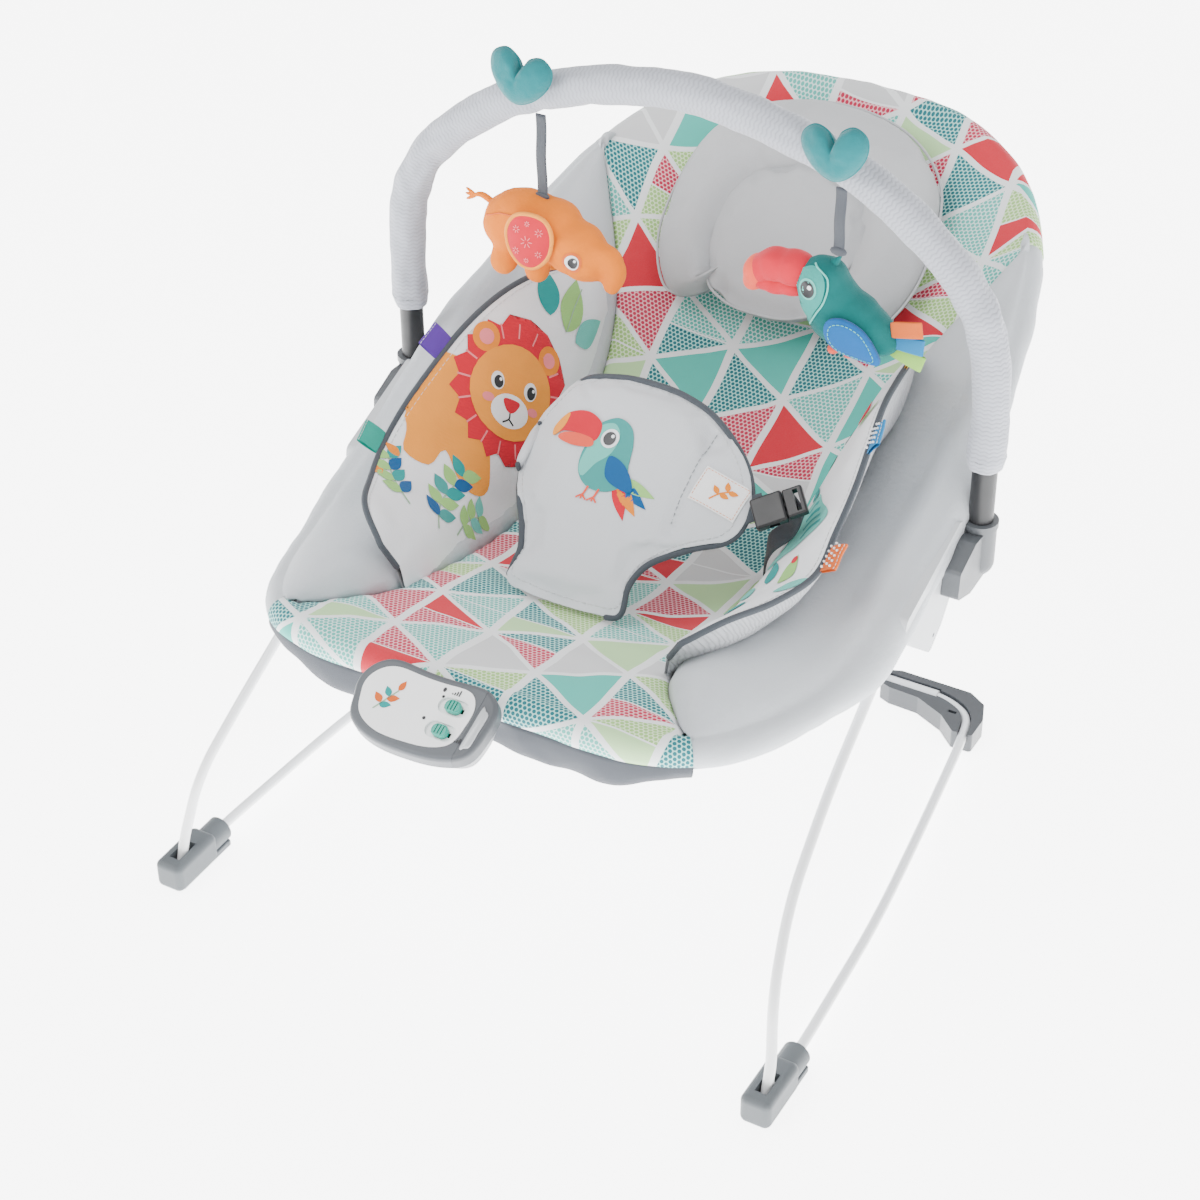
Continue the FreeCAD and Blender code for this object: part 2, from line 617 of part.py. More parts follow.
def vibration_motor():
    can = Part.makeCylinder(MOTOR_R, 20, vec(MOTOR_X, -12, MOTOR_Z), vec(0, 1, 0))
    shaft = Part.makeCylinder(1.0, 12, vec(MOTOR_X, 7, MOTOR_Z), vec(0, 1, 0))
    return in_unit(can.fuse(shaft))


def eccentric_weight():
    """Half disc on the motor's shaft."""
    disc = Part.makeCylinder(6.0, 6, vec(MOTOR_X, 10, MOTOR_Z), vec(0, 1, 0))
    disc = disc.cut(box(MOTOR_X + 2.4, 0, MOTOR_Z - 20, MOTOR_X + 20, 40, MOTOR_Z + 20))
    bore = Part.makeCylinder(1.0 + FIT, 20, vec(MOTOR_X, 4, MOTOR_Z), vec(0, 1, 0))
    return in_unit(disc.cut(bore))


def unit_rim():
    """Ring at the front of the case, rounded over towards the face."""
    ring = slab(UNIT_EDGE, 0, -BEZEL_D, 0)
    top_edges = [e for e in ring.Edges if e.BoundBox.ZMin > -0.01]
    return ring.makeFillet(3.5, top_edges)


def unit_bezel():
    ring = unit_rim().common(box(-80, -60, -30, CAP_X, 60, 10))
    ring = ring.cut(slab(UNIT_EDGE, WALL, -BEZEL_D - 1, -FACE_T - 1.2))
    return in_unit(ring.cut(slab(FACE_EDGE, -0.15, -FACE_T - 2, 5)))


def unit_face_plate():
    plate = slab(FACE_EDGE, 0, -FACE_T, 0.6)
    for x, y in SWITCHES.values():
        recess = box(x - RECESS_W / 2, y - RECESS_H / 2, -1.6, x + RECESS_W / 2, y + RECESS_H / 2, 2,
                     RECESS_H / 2 - 0.05, "upright")
        slot = box(x - 7.4, y - 1.8, -10, x + 7.4, y + 1.8, 2)
        plate = plate.cut(recess).cut(slot)
    return in_unit(plate)


def unit_end_cap():
    cap = unit_rim().common(box(CAP_X + 0.2, -60, -30, 80, 60, 10))
    return in_unit(cap.cut(slab(UNIT_EDGE, WALL, -BEZEL_D - 1, -FACE_T)))


def slide_switch(name):
    """Ribbed knob with a stem through the face plate."""
    x, y = SWITCHES[name]
    knob = box(x - KNOB_W / 2, y - KNOB_H / 2, -1.3, x + KNOB_W / 2, y + KNOB_H / 2, 3.2, 4.2,
               "upright")
    knob = knob.makeFillet(1.2, [e for e in knob.Edges if e.BoundBox.ZMin > 3.1])
    for step in (-2.4, 0, 2.4):
        knob = knob.cut(box(x + step - 0.5, y - 3.4, 2.4, x + step + 0.5, y + 3.4, 4))
    stem = box(x - 3, y - 1.5, -9, x + 3, y + 1.5, 0)
    return in_unit(knob.fuse(stem))


def case_screws():
    spots = [(-44.5, 19), (-43, -14), (37, 20), (36, -15.5)]
    return in_unit(Part.makeCompound([Part.makeCylinder(1.3, 7, vec(x, y, -18.4)) for x, y in spots]))


def unit_clamp():
    """Hook of the control unit around the front seat tube."""
    ring = Part.makeCylinder(SEAT_TUBE_R + 3.2, 30, vec(-15, 30, 256), vec(1, 0, 0))
    tongue = prism([(19, 250), (32, 246), (32, 250), (24, 258)], -15, 15)
    hook = ring.fuse(tongue)
    tube = rod(full_rim(0, 3), SEAT_TUBE_R + FIT)
    unit_block = in_unit(box(-70, -60, -UNIT_D - 0.1, 70, UNIT_H / 2 + 0.1, 5))
    return hook.cut(tube).cut(unit_block)


# Toy bar ----------------------------------------------------------------------------------

SLEEVE_END = 337.0
ARCH = [(BAR_X, 318), (BAR_X, 392), (236, 440), (219, 473), (191, 501), (150, 531), (100, 552),
        (50, 565), (0, 571)]


def arch_points(start_height):
    side = [(BAR_X, start_height)] + ARCH[1:]
    right = [(x, BAR_Y, z) for x, z in side]
    left = [(-x, y, z) for x, y, z in reversed(right[:-1])]
    return right + left


def toy_bar_tube():
    return rod(arch_points(SOCKET_TOP + 20), BAR_TUBE_R, BAR_TUBE_R - 1.4)


def toy_bar_end():
    collar = Part.makeCylinder(BAR_END_R, SLEEVE_END - 0.3 - SOCKET_TOP - 0.3,
                               vec(BAR_X, BAR_Y, SOCKET_TOP + 0.3))
    peg = Part.makeCylinder(BAR_PEG_R, SOCKET_TOP - 260, vec(BAR_X, BAR_Y, 261))
    bore = Part.makeCylinder(BAR_TUBE_R + FIT, 60, vec(BAR_X, BAR_Y, SOCKET_TOP + 19.7))
    return collar.fuse(peg).removeSplitter().cut(bore)


def toy_bar_sleeve():
    return rod(arch_points(SLEEVE_END), SLEEVE_R, BAR_TUBE_R + 0.4)


def heart():
    """Plush heart in front of the sleeve."""
    outline = [(0, -20), (14, -8), (22, 5), (19, 17), (10, 20), (0, 11), (-10, 20), (-19, 17),
               (-22, 5), (-14, -8)]
    body = smooth_loop([(x, z, 0) for x, z in outline]).extrude(vec(0, 0, 11))
    return placed(body, vec(124, 329, 562), vec(1, 0, 0), vec(0, -1, 0))


# Hanging toys -----------------------------------------------------------------------------

STRAP_TOP = 525.6
STRAP_END = {"left": 461.0, "right": 478.0}


def strap(side):
    sign = 1 if side == "right" else -1
    x = sign * TOY_X
    return box(x - 4, BAR_Y - 0.8, STRAP_END[side], x + 4, BAR_Y + 0.8, STRAP_TOP)


def toy_elephant():
    x = -TOY_X
    body = spheroid((x - 4, BAR_Y, 432), 38, 25)
    head = spheroid((x + 26, BAR_Y, 424), 24, 22)
    legs = [box(x + dx - 8, BAR_Y + dy - 6, 398, x + dx + 8, BAR_Y + dy + 6, 425, 4)
            for dx in (-24, 4) for dy in (-9, 9)]
    return body.fuse([head] + legs)


def toy_bird():
    x = TOY_X
    body = spheroid((x + 6, BAR_Y, 434), 36, 24)
    head = spheroid((x - 8, BAR_Y, 454), 23, 21)
    beak = spheroid((x - 38, BAR_Y, 452), 24, 13)
    tail = box(x + 34, BAR_Y - 3, 432, x + 68, BAR_Y + 3, 452, 2)
    return body.fuse([head, beak, tail])


# Assembly ---------------------------------------------------------------------------------

add("rear_cross_tube", rear_cross_tube())
add_pair("floor_wire", rod(FLOOR_WIRE, WIRE_R))
add_pair("front_foot", front_foot())
add_pair("rear_foot", rear_foot())
add("rear_foot_screws", rear_foot_screws())
add_pair("leg_wire", leg_wire())
add_pair("hub_shell_outer", hub_shell(HUB_X + 0.1, 236, HUB_X, 233.5, 1.8 + FIT))
add_pair("hub_shell_inner", hub_shell(203.5, HUB_X, 206, HUB_X + 0.1, 1.8 + FIT))
add("hub_screws", hub_screws())
add_pair("toy_bar_socket", toy_bar_socket())
add("front_seat_tube", front_seat_tube())
add("back_seat_tube", back_seat_tube())
add("seat_cover", seat_cover())
add("seat_panel", seat_panel())
add("under_panel", under_panel())
add_pair("side_bolster", side_bolster())
add("head_pillow", head_pillow())
add("head_pillow_inner", head_pillow_inner())
add("harness_pad", harness_pad())
for side_name in BUCKLES:
    add("buckle_socket_" + side_name, buckle_socket(side_name))
    add("buckle_plug_" + side_name, buckle_plug(side_name))
add("waist_strap_right", waist_strap_right())
add("waist_strap_left", waist_strap_left())
add("ribbon_tags", ribbon_tags())
add("unit_back_case", unit_back_case())
add("unit_bezel", unit_bezel())
add("unit_face_plate", unit_face_plate())
add("unit_end_cap", unit_end_cap())
add("unit_clamp", unit_clamp())
add("battery_door", battery_door())
add("battery_door_screw", battery_door_screw())
add("batteries", batteries())
add("speaker", speaker())
add("circuit_board", circuit_board())
add("vibration_motor", vibration_motor())
add("eccentric_weight", eccentric_weight())
add("case_screws", case_screws())
for switch in SWITCHES:
    add(switch, slide_switch(switch))
add("toy_bar_tube", toy_bar_tube())
add_pair("toy_bar_end", toy_bar_end())
add("toy_bar_sleeve", toy_bar_sleeve())
add_pair("heart", heart())
add("strap_left", strap("left"))
add("strap_right", strap("right"))
add("toy_elephant", toy_elephant())
add("toy_bird", toy_bird())

os.makedirs("parts", exist_ok=True)
overall = Part.makeCompound(list(parts.values())).BoundBox
middle_y = (overall.YMin + overall.YMax) / 2
for name, shape in parts.items():
    shape.translate(vec(0, -middle_y, 0))
    shape.exportStep("parts/" + name + ".step")
    print(name, "valid" if shape.isValid() else "INVALID", round(shape.Volume / 1000, 2), "cm3")
print("pieces", len(parts), "middle_y", round(middle_y, 4))
print("size", round(overall.XLength, 1), round(overall.YLength, 1), round(overall.ZLength, 1),
      "lowest", round(overall.ZMin, 4))
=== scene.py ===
import json
import math

import bmesh
import bpy
from mathutils import Matrix, Vector, noise
from mathutils.bvhtree import BVHTree

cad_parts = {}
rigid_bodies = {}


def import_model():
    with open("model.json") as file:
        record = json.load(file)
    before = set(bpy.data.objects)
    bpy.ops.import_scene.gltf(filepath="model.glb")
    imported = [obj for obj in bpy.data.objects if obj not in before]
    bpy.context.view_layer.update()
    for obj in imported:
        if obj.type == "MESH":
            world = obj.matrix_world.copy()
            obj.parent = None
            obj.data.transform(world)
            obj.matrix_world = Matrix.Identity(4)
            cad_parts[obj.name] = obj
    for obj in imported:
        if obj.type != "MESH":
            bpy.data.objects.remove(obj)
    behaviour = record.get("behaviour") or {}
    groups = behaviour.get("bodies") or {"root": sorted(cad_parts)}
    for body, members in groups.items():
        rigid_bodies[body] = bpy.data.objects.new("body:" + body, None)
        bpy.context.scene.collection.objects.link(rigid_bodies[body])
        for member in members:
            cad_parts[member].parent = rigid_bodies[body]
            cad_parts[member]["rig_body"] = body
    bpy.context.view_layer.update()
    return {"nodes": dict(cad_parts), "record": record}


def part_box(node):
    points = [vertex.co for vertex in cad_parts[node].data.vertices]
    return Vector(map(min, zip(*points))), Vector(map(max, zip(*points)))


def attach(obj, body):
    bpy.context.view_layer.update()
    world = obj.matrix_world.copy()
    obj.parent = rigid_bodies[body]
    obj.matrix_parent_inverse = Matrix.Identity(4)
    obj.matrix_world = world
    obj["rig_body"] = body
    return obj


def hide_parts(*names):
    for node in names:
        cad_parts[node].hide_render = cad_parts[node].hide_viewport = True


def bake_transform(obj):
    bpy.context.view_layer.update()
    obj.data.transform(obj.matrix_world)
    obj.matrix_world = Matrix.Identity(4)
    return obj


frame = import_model()

# Everything below is drawn in metres with y = 0 at the bend of the front feet, and moved back
# by FOOT_Y into the frame of the model.
FOOT_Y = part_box("front_foot_right")[0][1] + 0.016
TAU = 2 * math.pi

# Outline of the seat ----------------------------------------------------------------------

# Centre line of the seat's tube, right half, from front to back
RIM = [(0, .030, .256), (.060, .030, .256), (.120, .031, .256), (.163, .048, .254),
       (.191, .092, .246), (.209, .150, .240), (.217, .200, .241), (.218, .245, .254),
       (.218, .292, .273), (.218, .340, .293), (.217, .400, .320), (.212, .450, .343),
       (.202, .500, .366), (.186, .550, .389), (.155, .600, .412), (.115, .632, .426),
       (.070, .650, .434), (0, .656, .437)]
# Middle of the sling, (depth, height)
KEEL = [(.030, .264), (.060, .261), (.090, .255), (.120, .248), (.150, .241), (.200, .227),
        (.250, .214), (.300, .213), (.350, .226), (.400, .247), (.450, .275), (.500, .308),
        (.550, .349), (.590, .385), (.620, .411), (.656, .446)]
# Seam between the patterned panel and the grey side, (half width, depth)
SEAM = [(.163, .048), (.140, .072), (.117, .104), (.107, .140), (.104, .200), (.103, .260),
        (.104, .330), (.109, .400), (.117, .440), (.128, .470), (.143, .496), (.160, .518),
        (.176, .538), (.187, .549)]
# Side bolster: seam on the seat and free edge
BOLSTER = [((.107, .117, .262), (.122, .112, .287)), ((.107, .140, .256), (.147, .131, .303)),
           ((.107, .165, .250), (.165, .167, .302)), ((.107, .200, .243), (.178, .205, .306)),
           ((.107, .235, .237), (.178, .235, .322)), ((.107, .275, .236), (.175, .273, .339)),
           ((.108, .305, .241), (.170, .306, .354)), ((.110, .345, .253), (.163, .343, .364)),
           ((.115, .385, .271), (.157, .382, .364)), ((.120, .420, .293), (.149, .422, .356)),
           ((.127, .452, .316), (.137, .455, .341))]


def lerp(a, b, t):
    return a + (b - a) * t


def spline(points, t, closed=False):
    """Catmull-Rom curve through the points, t from 0 to 1 over equal spans."""
    spans = len(points) if closed else len(points) - 1
    place = min(max(t, 0.0), 1.0) * spans
    i = min(int(place), spans - 1)
    f = place - i

    def pick(k):
        if closed:
            return points[k % len(points)]
        if k < 0:
            return points[0] * 2 - points[1]
        if k >= len(points):
            return points[-1] * 2 - points[-2]
        return points[k]
    p0, p1, p2, p3 = pick(i - 1), pick(i), pick(i + 1), pick(i + 2)
    return (p1 * 2 + (p2 - p0) * f + (p0 * 2 - p1 * 5 + p2 * 4 - p3) * f * f
            + (p1 * 3 - p0 - p2 * 3 + p3) * f * f * f) * 0.5


def vectors(points):
    return [Vector(p) for p in points]


def even_curve(points, count, closed=False):
    """Points evenly spaced along the smooth curve through the given ones."""
    fine = [spline(points, i / 600, closed) for i in range(601)]
    lengths = [0.0]
    for a, b in zip(fine, fine[1:]):
        lengths.append(lengths[-1] + (b - a).length)
    result = []
    k = 0
    steps = count if closed else count - 1
    for i in range(count):
        wanted = lengths[-1] * i / steps
        while k < 599 and lengths[k + 1] < wanted:
            k += 1
        span = lengths[k + 1] - lengths[k]
        result.append(fine[k].lerp(fine[k + 1], (wanted - lengths[k]) / span if span else 0))
    return result


def table_value(rows, x, column=1):
    """Smooth value of a column at x, the first column."""
    if x <= rows[0][0]:
        return rows[0][column]
    for i in range(len(rows) - 1):
        if x <= rows[i + 1][0]:
            t = (x - rows[i][0]) / (rows[i + 1][0] - rows[i][0])
            values = [Vector((row[column], 0, 0)) for row in rows]
            return spline(values, (i + t) / (len(rows) - 1)).x
    return rows[-1][column]


def smooth_step(low, high, x):
    t = min(max((x - low) / (high - low), 0.0), 1.0)
    return t * t * (3 - 2 * t)


RIM_SIDE = even_curve(vectors(RIM), 240)
RIM_TABLE = [(p.y, p.x, p.z) for p in RIM_SIDE[::8]] + [(.656, 0, .437)]
SEAM_CURVE = even_curve([Vector((x, y, 0)) for x, y in SEAM], 120)


def rim_half_width(y):
    return max(table_value(RIM_TABLE, y, 1), 0.001)


def rim_height(y):
    return table_value(RIM_TABLE, y, 2)


def seat_height(x, y):
    """Top of the cloth: a hammock between the two side tubes."""
    half = rim_half_width(y)
    across = min(1.0, abs(x) / half)
    keel = table_value(KEEL, y)
    return lerp(keel, rim_height(y) + 0.008, across ** 2.4)


def crumple(p, amount, size):
    """Soft uneven relief of cloth, in metres."""
    q = p / size
    return amount * (noise.noise(q) + 0.5 * noise.noise(q * 2.1 + Vector((7, 3, 1))))


# Mesh helpers -----------------------------------------------------------------------------

def finish_piece(obj, material, body, smooth=True):
    if material:
        obj.data.materials.append(material)
    for polygon in obj.data.polygons:
        polygon.use_smooth = smooth
    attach(obj, body)
    return obj


def new_object(name, mesh):
    obj = bpy.data.objects.new(name, mesh)
    bpy.context.collection.objects.link(obj)
    return obj


def mesh_piece(name, verts, faces, material, body, smooth=True):
    mesh = bpy.data.meshes.new(name)
    mesh.from_pydata([(v[0], v[1] + FOOT_Y, v[2]) for v in verts], [], faces)
    mesh.update()
    return finish_piece(new_object(name, mesh), material, body, smooth)


def grid_faces(rows, columns, wrap_rows=False, wrap_columns=False, start=0):
    faces = []
    for i in range(rows if wrap_rows else rows - 1):
        for j in range(columns if wrap_columns else columns - 1):
            a = start + i * columns + j
            b = start + i * columns + (j + 1) % columns
            c = start + ((i + 1) % rows) * columns + (j + 1) % columns
            d = start + ((i + 1) % rows) * columns + j
            faces.append((a, b, c, d))
    return faces


def recalculate(obj):
    bm = bmesh.new()
    bm.from_mesh(obj.data)
    bmesh.ops.remove_doubles(bm, verts=bm.verts, dist=1e-6)
    bmesh.ops.recalc_face_normals(bm, faces=bm.faces)
    bm.to_mesh(obj.data)
    bm.free()


def grid_piece(name, rows, material, body, wrap_columns=False, uv=None):
    """Surface through rows of points. uv gives a coordinate in metres for each (row, column)."""
    columns = len(rows[0])
    verts = [p for row in rows for p in row]
    obj = mesh_piece(name, verts, grid_faces(len(rows), columns, False, wrap_columns), material, body)
    if uv:
        layer = obj.data.uv_layers.new(name="cloth")
        for loop in obj.data.loops:
            i, j = divmod(loop.vertex_index, columns)
            layer.data[loop.index].uv = uv(i, j)
    return obj


def thicken(obj, depth, offset=-1.0, subdivisions=0):
    solid = obj.modifiers.new("thickness", "SOLIDIFY")
    solid.thickness = depth
    solid.offset = offset
    if subdivisions:
        rounded = obj.modifiers.new("round", "SUBSURF")
        rounded.levels = rounded.render_levels = subdivisions
    return obj


def apply_modifiers(obj):
    graph = bpy.context.evaluated_depsgraph_get()
    mesh = bpy.data.meshes.new_from_object(obj.evaluated_get(graph))
    old = obj.data
    obj.modifiers.clear()
    obj.data = mesh
    bpy.data.meshes.remove(old)


def heading(path, i):
    """Direction of a path at one of its points."""
    return (path[min(i + 1, len(path) - 1)] - path[max(i - 1, 0)]).normalized()


def frames_along(path, up=Vector((0, 0, 1))):
    """Tangent, side and normal at each point, turned as little as possible between points."""
    result = []
    side = None
    for i in range(len(path)):
        tangent = heading(path, i)
        if side is None:
            guess = up if abs(tangent.dot(up)) < 0.9 else Vector((0, 1, 0))
            side = tangent.cross(guess).normalized()
        side = (side - tangent * side.dot(tangent)).normalized()
        result.append((tangent, side, side.cross(tangent).normalized()))
    return result


def closed_skin(name, rows, material, body):
    """Tube through closed rings of points, with a flat face at each end."""
    columns = len(rows[0])
    verts = [p for row in rows for p in row]
    faces = grid_faces(len(rows), columns, False, True)
    faces.append(tuple(range(columns))[::-1])
    faces.append(tuple(len(verts) - columns + k for k in range(columns)))
    return mesh_piece(name, verts, faces, material, body)


def sweep(name, path, radius, material, body, sides=16, rounded=True, uv=False):
    """Tube along a path. radius is a number or a function of (place along, angle)."""
    size = radius if callable(radius) else lambda t, a: radius
    frames = frames_along(path)
    rows = []
    last = len(path) - 1
    for i, (p, (tangent, side, normal)) in enumerate(zip(path, frames)):
        t = i / last
        row = []
        for j in range(sides):
            a = TAU * j / sides
            r = size(t, a)
            row.append(p + side * (math.cos(a) * r) + normal * (math.sin(a) * r))
        rows.append(row)
    if rounded:
        for end, sign in ((0, -1), (last, 1)):
            tangent = frames[end][0]
            caps = []
            for k in (1, 2, 3):
                angle = k * math.pi / 6
                reach = size(end / last, 0)
                centre = path[end] + tangent * (sign * reach * math.sin(angle))
                caps.append([centre + (v - path[end]) * max(math.cos(angle), 0.02)
                             for v in rows[0 if end == 0 else -1]])
            rows = caps[::-1] + rows if end == 0 else rows + caps
    obj = closed_skin(name, rows, material, body)
    if uv:
        length = [0.0]
        centres = [sum(row, Vector()) / sides for row in rows]
        for a, b in zip(centres, centres[1:]):
            length.append(length[-1] + (b - a).length)
        layer = obj.data.uv_layers.new(name="cloth")
        for polygon in obj.data.polygons:
            around = [obj.data.loops[k].vertex_index % sides for k in polygon.loop_indices]
            wraps = max(around) - min(around) > sides / 2
            for k in polygon.loop_indices:
                i, j = divmod(obj.data.loops[k].vertex_index, sides)
                j = j + sides if wraps and j < sides / 2 else j
                layer.data[k].uv = (j / sides, length[i])
    recalculate(obj)
    return obj


def ball(name, centre, radii, material, body, turn=None, detail=3):
    """Smooth egg shape."""
    bm = bmesh.new()
    bmesh.ops.create_icosphere(bm, subdivisions=detail, radius=1.0)
    for vert in bm.verts:
        p = Vector((vert.co.x * radii[0], vert.co.y * radii[1], vert.co.z * radii[2]))
        p = turn @ p if turn else p
        vert.co = p + Vector(centre)
    verts = [v.co.copy() for v in bm.verts]
    faces = [tuple(v.index for v in f.verts) for f in bm.faces]
    bm.free()
    return mesh_piece(name, verts, faces, material, body)


def join(name, objects):
    """One object from several with the same body, each keeping its material."""
    bm = bmesh.new()
    materials = []
    for obj in objects:
        for material in obj.data.materials:
            if material not in materials:
                materials.append(material)
        start = len(bm.faces)
        bm.from_mesh(obj.data)
        bm.faces.ensure_lookup_table()
        own = list(obj.data.materials)
        for face in bm.faces[start:] if own else []:
            face.material_index = materials.index(own[face.material_index])
    target = objects[0]
    target.data.materials.clear()
    for material in materials:
        target.data.materials.append(material)
    bm.to_mesh(target.data)
    bm.free()
    for obj in objects[1:]:
        bpy.data.objects.remove(obj)
    target.name = name
    return target


def tree_of(obj):
    graph = bpy.context.evaluated_depsgraph_get()
    evaluated = obj.evaluated_get(graph)
    mesh = evaluated.to_mesh()
    verts = [v.co.copy() for v in mesh.vertices]
    faces = [tuple(p.vertices) for p in mesh.polygons]
    evaluated.to_mesh_clear()
    return BVHTree.FromPolygons(verts, faces)


def cast(tree, point, direction, reach=0.12):
    """Where a ray through the point, from reach in front of it, meets the cloth."""
    start = point + Vector((0, FOOT_Y, 0)) - direction * reach
    hit, normal = tree.ray_cast(start, direction, reach * 3)[:2]
    if hit is None:
        hit, normal = tree.find_nearest(point + Vector((0, FOOT_Y, 0)))[:2]
    if normal.dot(direction) > 0:
        normal = -normal
    return hit - Vector((0, FOOT_Y, 0)), normal


def decal(name, outlines, place, direction, tree, material, body, lift=0.0006, longest=0.006):
    """Flat printed or sewn-on shape, laid on cloth. Outlines are closed lists of (x, y)."""
    bm = bmesh.new()
    for outline in outlines:
        verts = [bm.verts.new((x, y, 0)) for x, y in outline]
        bm.faces.new(verts)
    bmesh.ops.triangulate(bm, faces=bm.faces)
    for _ in range(5):
        long_edges = [e for e in bm.edges if e.calc_length() > longest]
        if not long_edges:
            break
        bmesh.ops.subdivide_edges(bm, edges=long_edges, cuts=1)
        bmesh.ops.triangulate(bm, faces=bm.faces)
    verts = []
    for vert in bm.verts:
        point, normal = cast(tree, place(vert.co.x, vert.co.y), direction)
        verts.append(point + normal * lift)
    bm.verts.index_update()
    faces = [tuple(v.index for v in f.verts) for f in bm.faces]
    bm.free()
    obj = mesh_piece(name, verts, faces, material, body)
    if sum(p.normal.dot(direction) * p.area for p in obj.data.polygons) > 0:
        obj.data.flip_normals()
    return obj


def stitches(name, path, material, body, dash=0.0032, space=0.0018, radius=0.00032):
    """A row of thread dashes just proud of the cloth."""
    length = sum((b - a).length for a, b in zip(path, path[1:]))
    count = max(2, int(length / (dash + space)))
    points = even_curve(path, count * 3 + 1)
    verts, faces = [], []
    for k in range(count):
        piece = points[k * 3:k * 3 + 3]
        start = len(verts)
        for p, (_, side, normal) in zip(piece, frames_along(piece)):
            for j in range(5):
                a = TAU * j / 5
                verts.append(p + (side * math.cos(a) + normal * math.sin(a)) * radius)
        faces += grid_faces(3, 5, False, True, start)
        faces.append(tuple(start + j for j in range(5))[::-1])
        faces.append(tuple(start + 10 + j for j in range(5)))
    return mesh_piece(name, verts, faces, material, body)


def both_sides(make):
    """Calls make(side name, sign) for the right and the left side."""
    return [make(name, sign) for name, sign in (("right", 1), ("left", -1))]


# Materials --------------------------------------------------------------------------------

class Shader:
    """A Principled material with short calls for its nodes."""

    def __init__(self, name, color, roughness, metallic=0.0, sheen=0.0, coat=0.0, specular=0.4):
        self.material = bpy.data.materials.new(name)
        self.material.use_nodes = True
        self.tree = self.material.node_tree
        self.surface = self.tree.nodes["Principled BSDF"]
        self.set("Base Color", (*color, 1.0))
        self.set("Roughness", roughness)
        self.set("Metallic", metallic)
        self.set("Specular IOR Level", specular)
        self.set("Sheen Weight", sheen)
        self.set("Sheen Roughness", 0.5)
        self.set("Coat Weight", coat)
        self.set("Coat Roughness", 0.15)

    def set(self, name, value):
        self.surface.inputs[name].default_value = value

    def node(self, kind, **settings):
        node = self.tree.nodes.new(kind)
        for key, value in settings.items():
            setattr(node, key, value)
        return node

    def plug(self, socket, value):
        if isinstance(value, bpy.types.NodeSocket):
            self.tree.links.new(value, socket)
        elif value is not None:
            socket.default_value = value

    def math(self, operation, *values):
        node = self.node("ShaderNodeMath", operation=operation)
        for socket, value in zip(node.inputs, values):
            self.plug(socket, value)
        return node.outputs[0]

    def vector(self, operation, *values):
        node = self.node("ShaderNodeVectorMath", operation=operation)
        for socket, value in zip(node.inputs, values):
            self.plug(socket, value)
        return node.outputs["Value" if operation in ("LENGTH", "DOT_PRODUCT") else "Vector"]

    def scaled(self, vector, factor):
        node = self.node("ShaderNodeVectorMath", operation="SCALE")
        self.plug(node.inputs[0], vector)
        self.plug(node.inputs["Scale"], factor)
        return node.outputs["Vector"]

    def mix(self, factor, a, b):
        node = self.node("ShaderNodeMix", data_type="RGBA")
        self.plug(node.inputs[0], factor)
        self.plug(node.inputs[6], a if isinstance(a, bpy.types.NodeSocket) else (*a[:3], 1.0))
        self.plug(node.inputs[7], b if isinstance(b, bpy.types.NodeSocket) else (*b[:3], 1.0))
        return node.outputs[2]

    def place(self, kind="Object"):
        return self.node("ShaderNodeTexCoord").outputs[kind]

    def noise(self, scale, detail=2.0, where=None, roughness=0.5, output="Fac"):
        node = self.node("ShaderNodeTexNoise")
        self.plug(node.inputs["Vector"], where or self.place())
        self.plug(node.inputs["Scale"], scale)
        self.plug(node.inputs["Detail"], detail)
        self.plug(node.inputs["Roughness"], roughness)
        return node.outputs[output]

    def split(self, vector):
        node = self.node("ShaderNodeSeparateXYZ")
        self.plug(node.inputs[0], vector)
        return node.outputs

    def combine(self, x, y, z=0.0):
        node = self.node("ShaderNodeCombineXYZ")
        for socket, value in zip(node.inputs, (x, y, z)):
            self.plug(socket, value)
        return node.outputs[0]

    def steps(self, value, stops):
        """Ramp with flat steps: stops are (start, color)."""
        node = self.node("ShaderNodeValToRGB")
        ramp = node.color_ramp
        ramp.interpolation = "CONSTANT"
        while len(ramp.elements) < len(stops):
            ramp.elements.new(0.5)
        for element, (start, color) in zip(ramp.elements, stops):
            element.position = start
            element.color = (*color, 1.0)
        self.plug(node.inputs[0], value)
        return node.outputs["Color"]

    def bump(self, height, distance, strength=1.0, under=None):
        node = self.node("ShaderNodeBump")
        self.plug(node.inputs["Height"], height)
        self.plug(node.inputs["Distance"], distance)
        self.plug(node.inputs["Strength"], strength)
        if under is not None:
            self.plug(node.inputs["Normal"], under)
        self.plug(self.surface.inputs["Normal"], node.outputs[0])
        return node.outputs[0]

    def paint(self, color):
        self.plug(self.surface.inputs["Base Color"], color)


def shade(color, factor):
    return tuple(min(1.0, c * factor) for c in color)


def mottled(shader, color, scale=30.0, spread=0.08):
    """Base colour with soft uneven tone."""
    tone = shader.noise(scale, 3.0)
    return shader.mix(tone, shade(color, 1 - spread), shade(color, 1 + spread))


def knit_height(shader, pitch=0.0009):
    """Fine woven threads: two crossed waves in object space."""
    spot = shader.scaled(shader.place(), TAU / pitch)
    x, y, z = shader.split(spot)
    a = shader.math("SINE", shader.math("ADD", x, z))
    b = shader.math("SINE", shader.math("ADD", y, z))
    return shader.math("MULTIPLY", shader.math("ADD", a, b), 0.5)


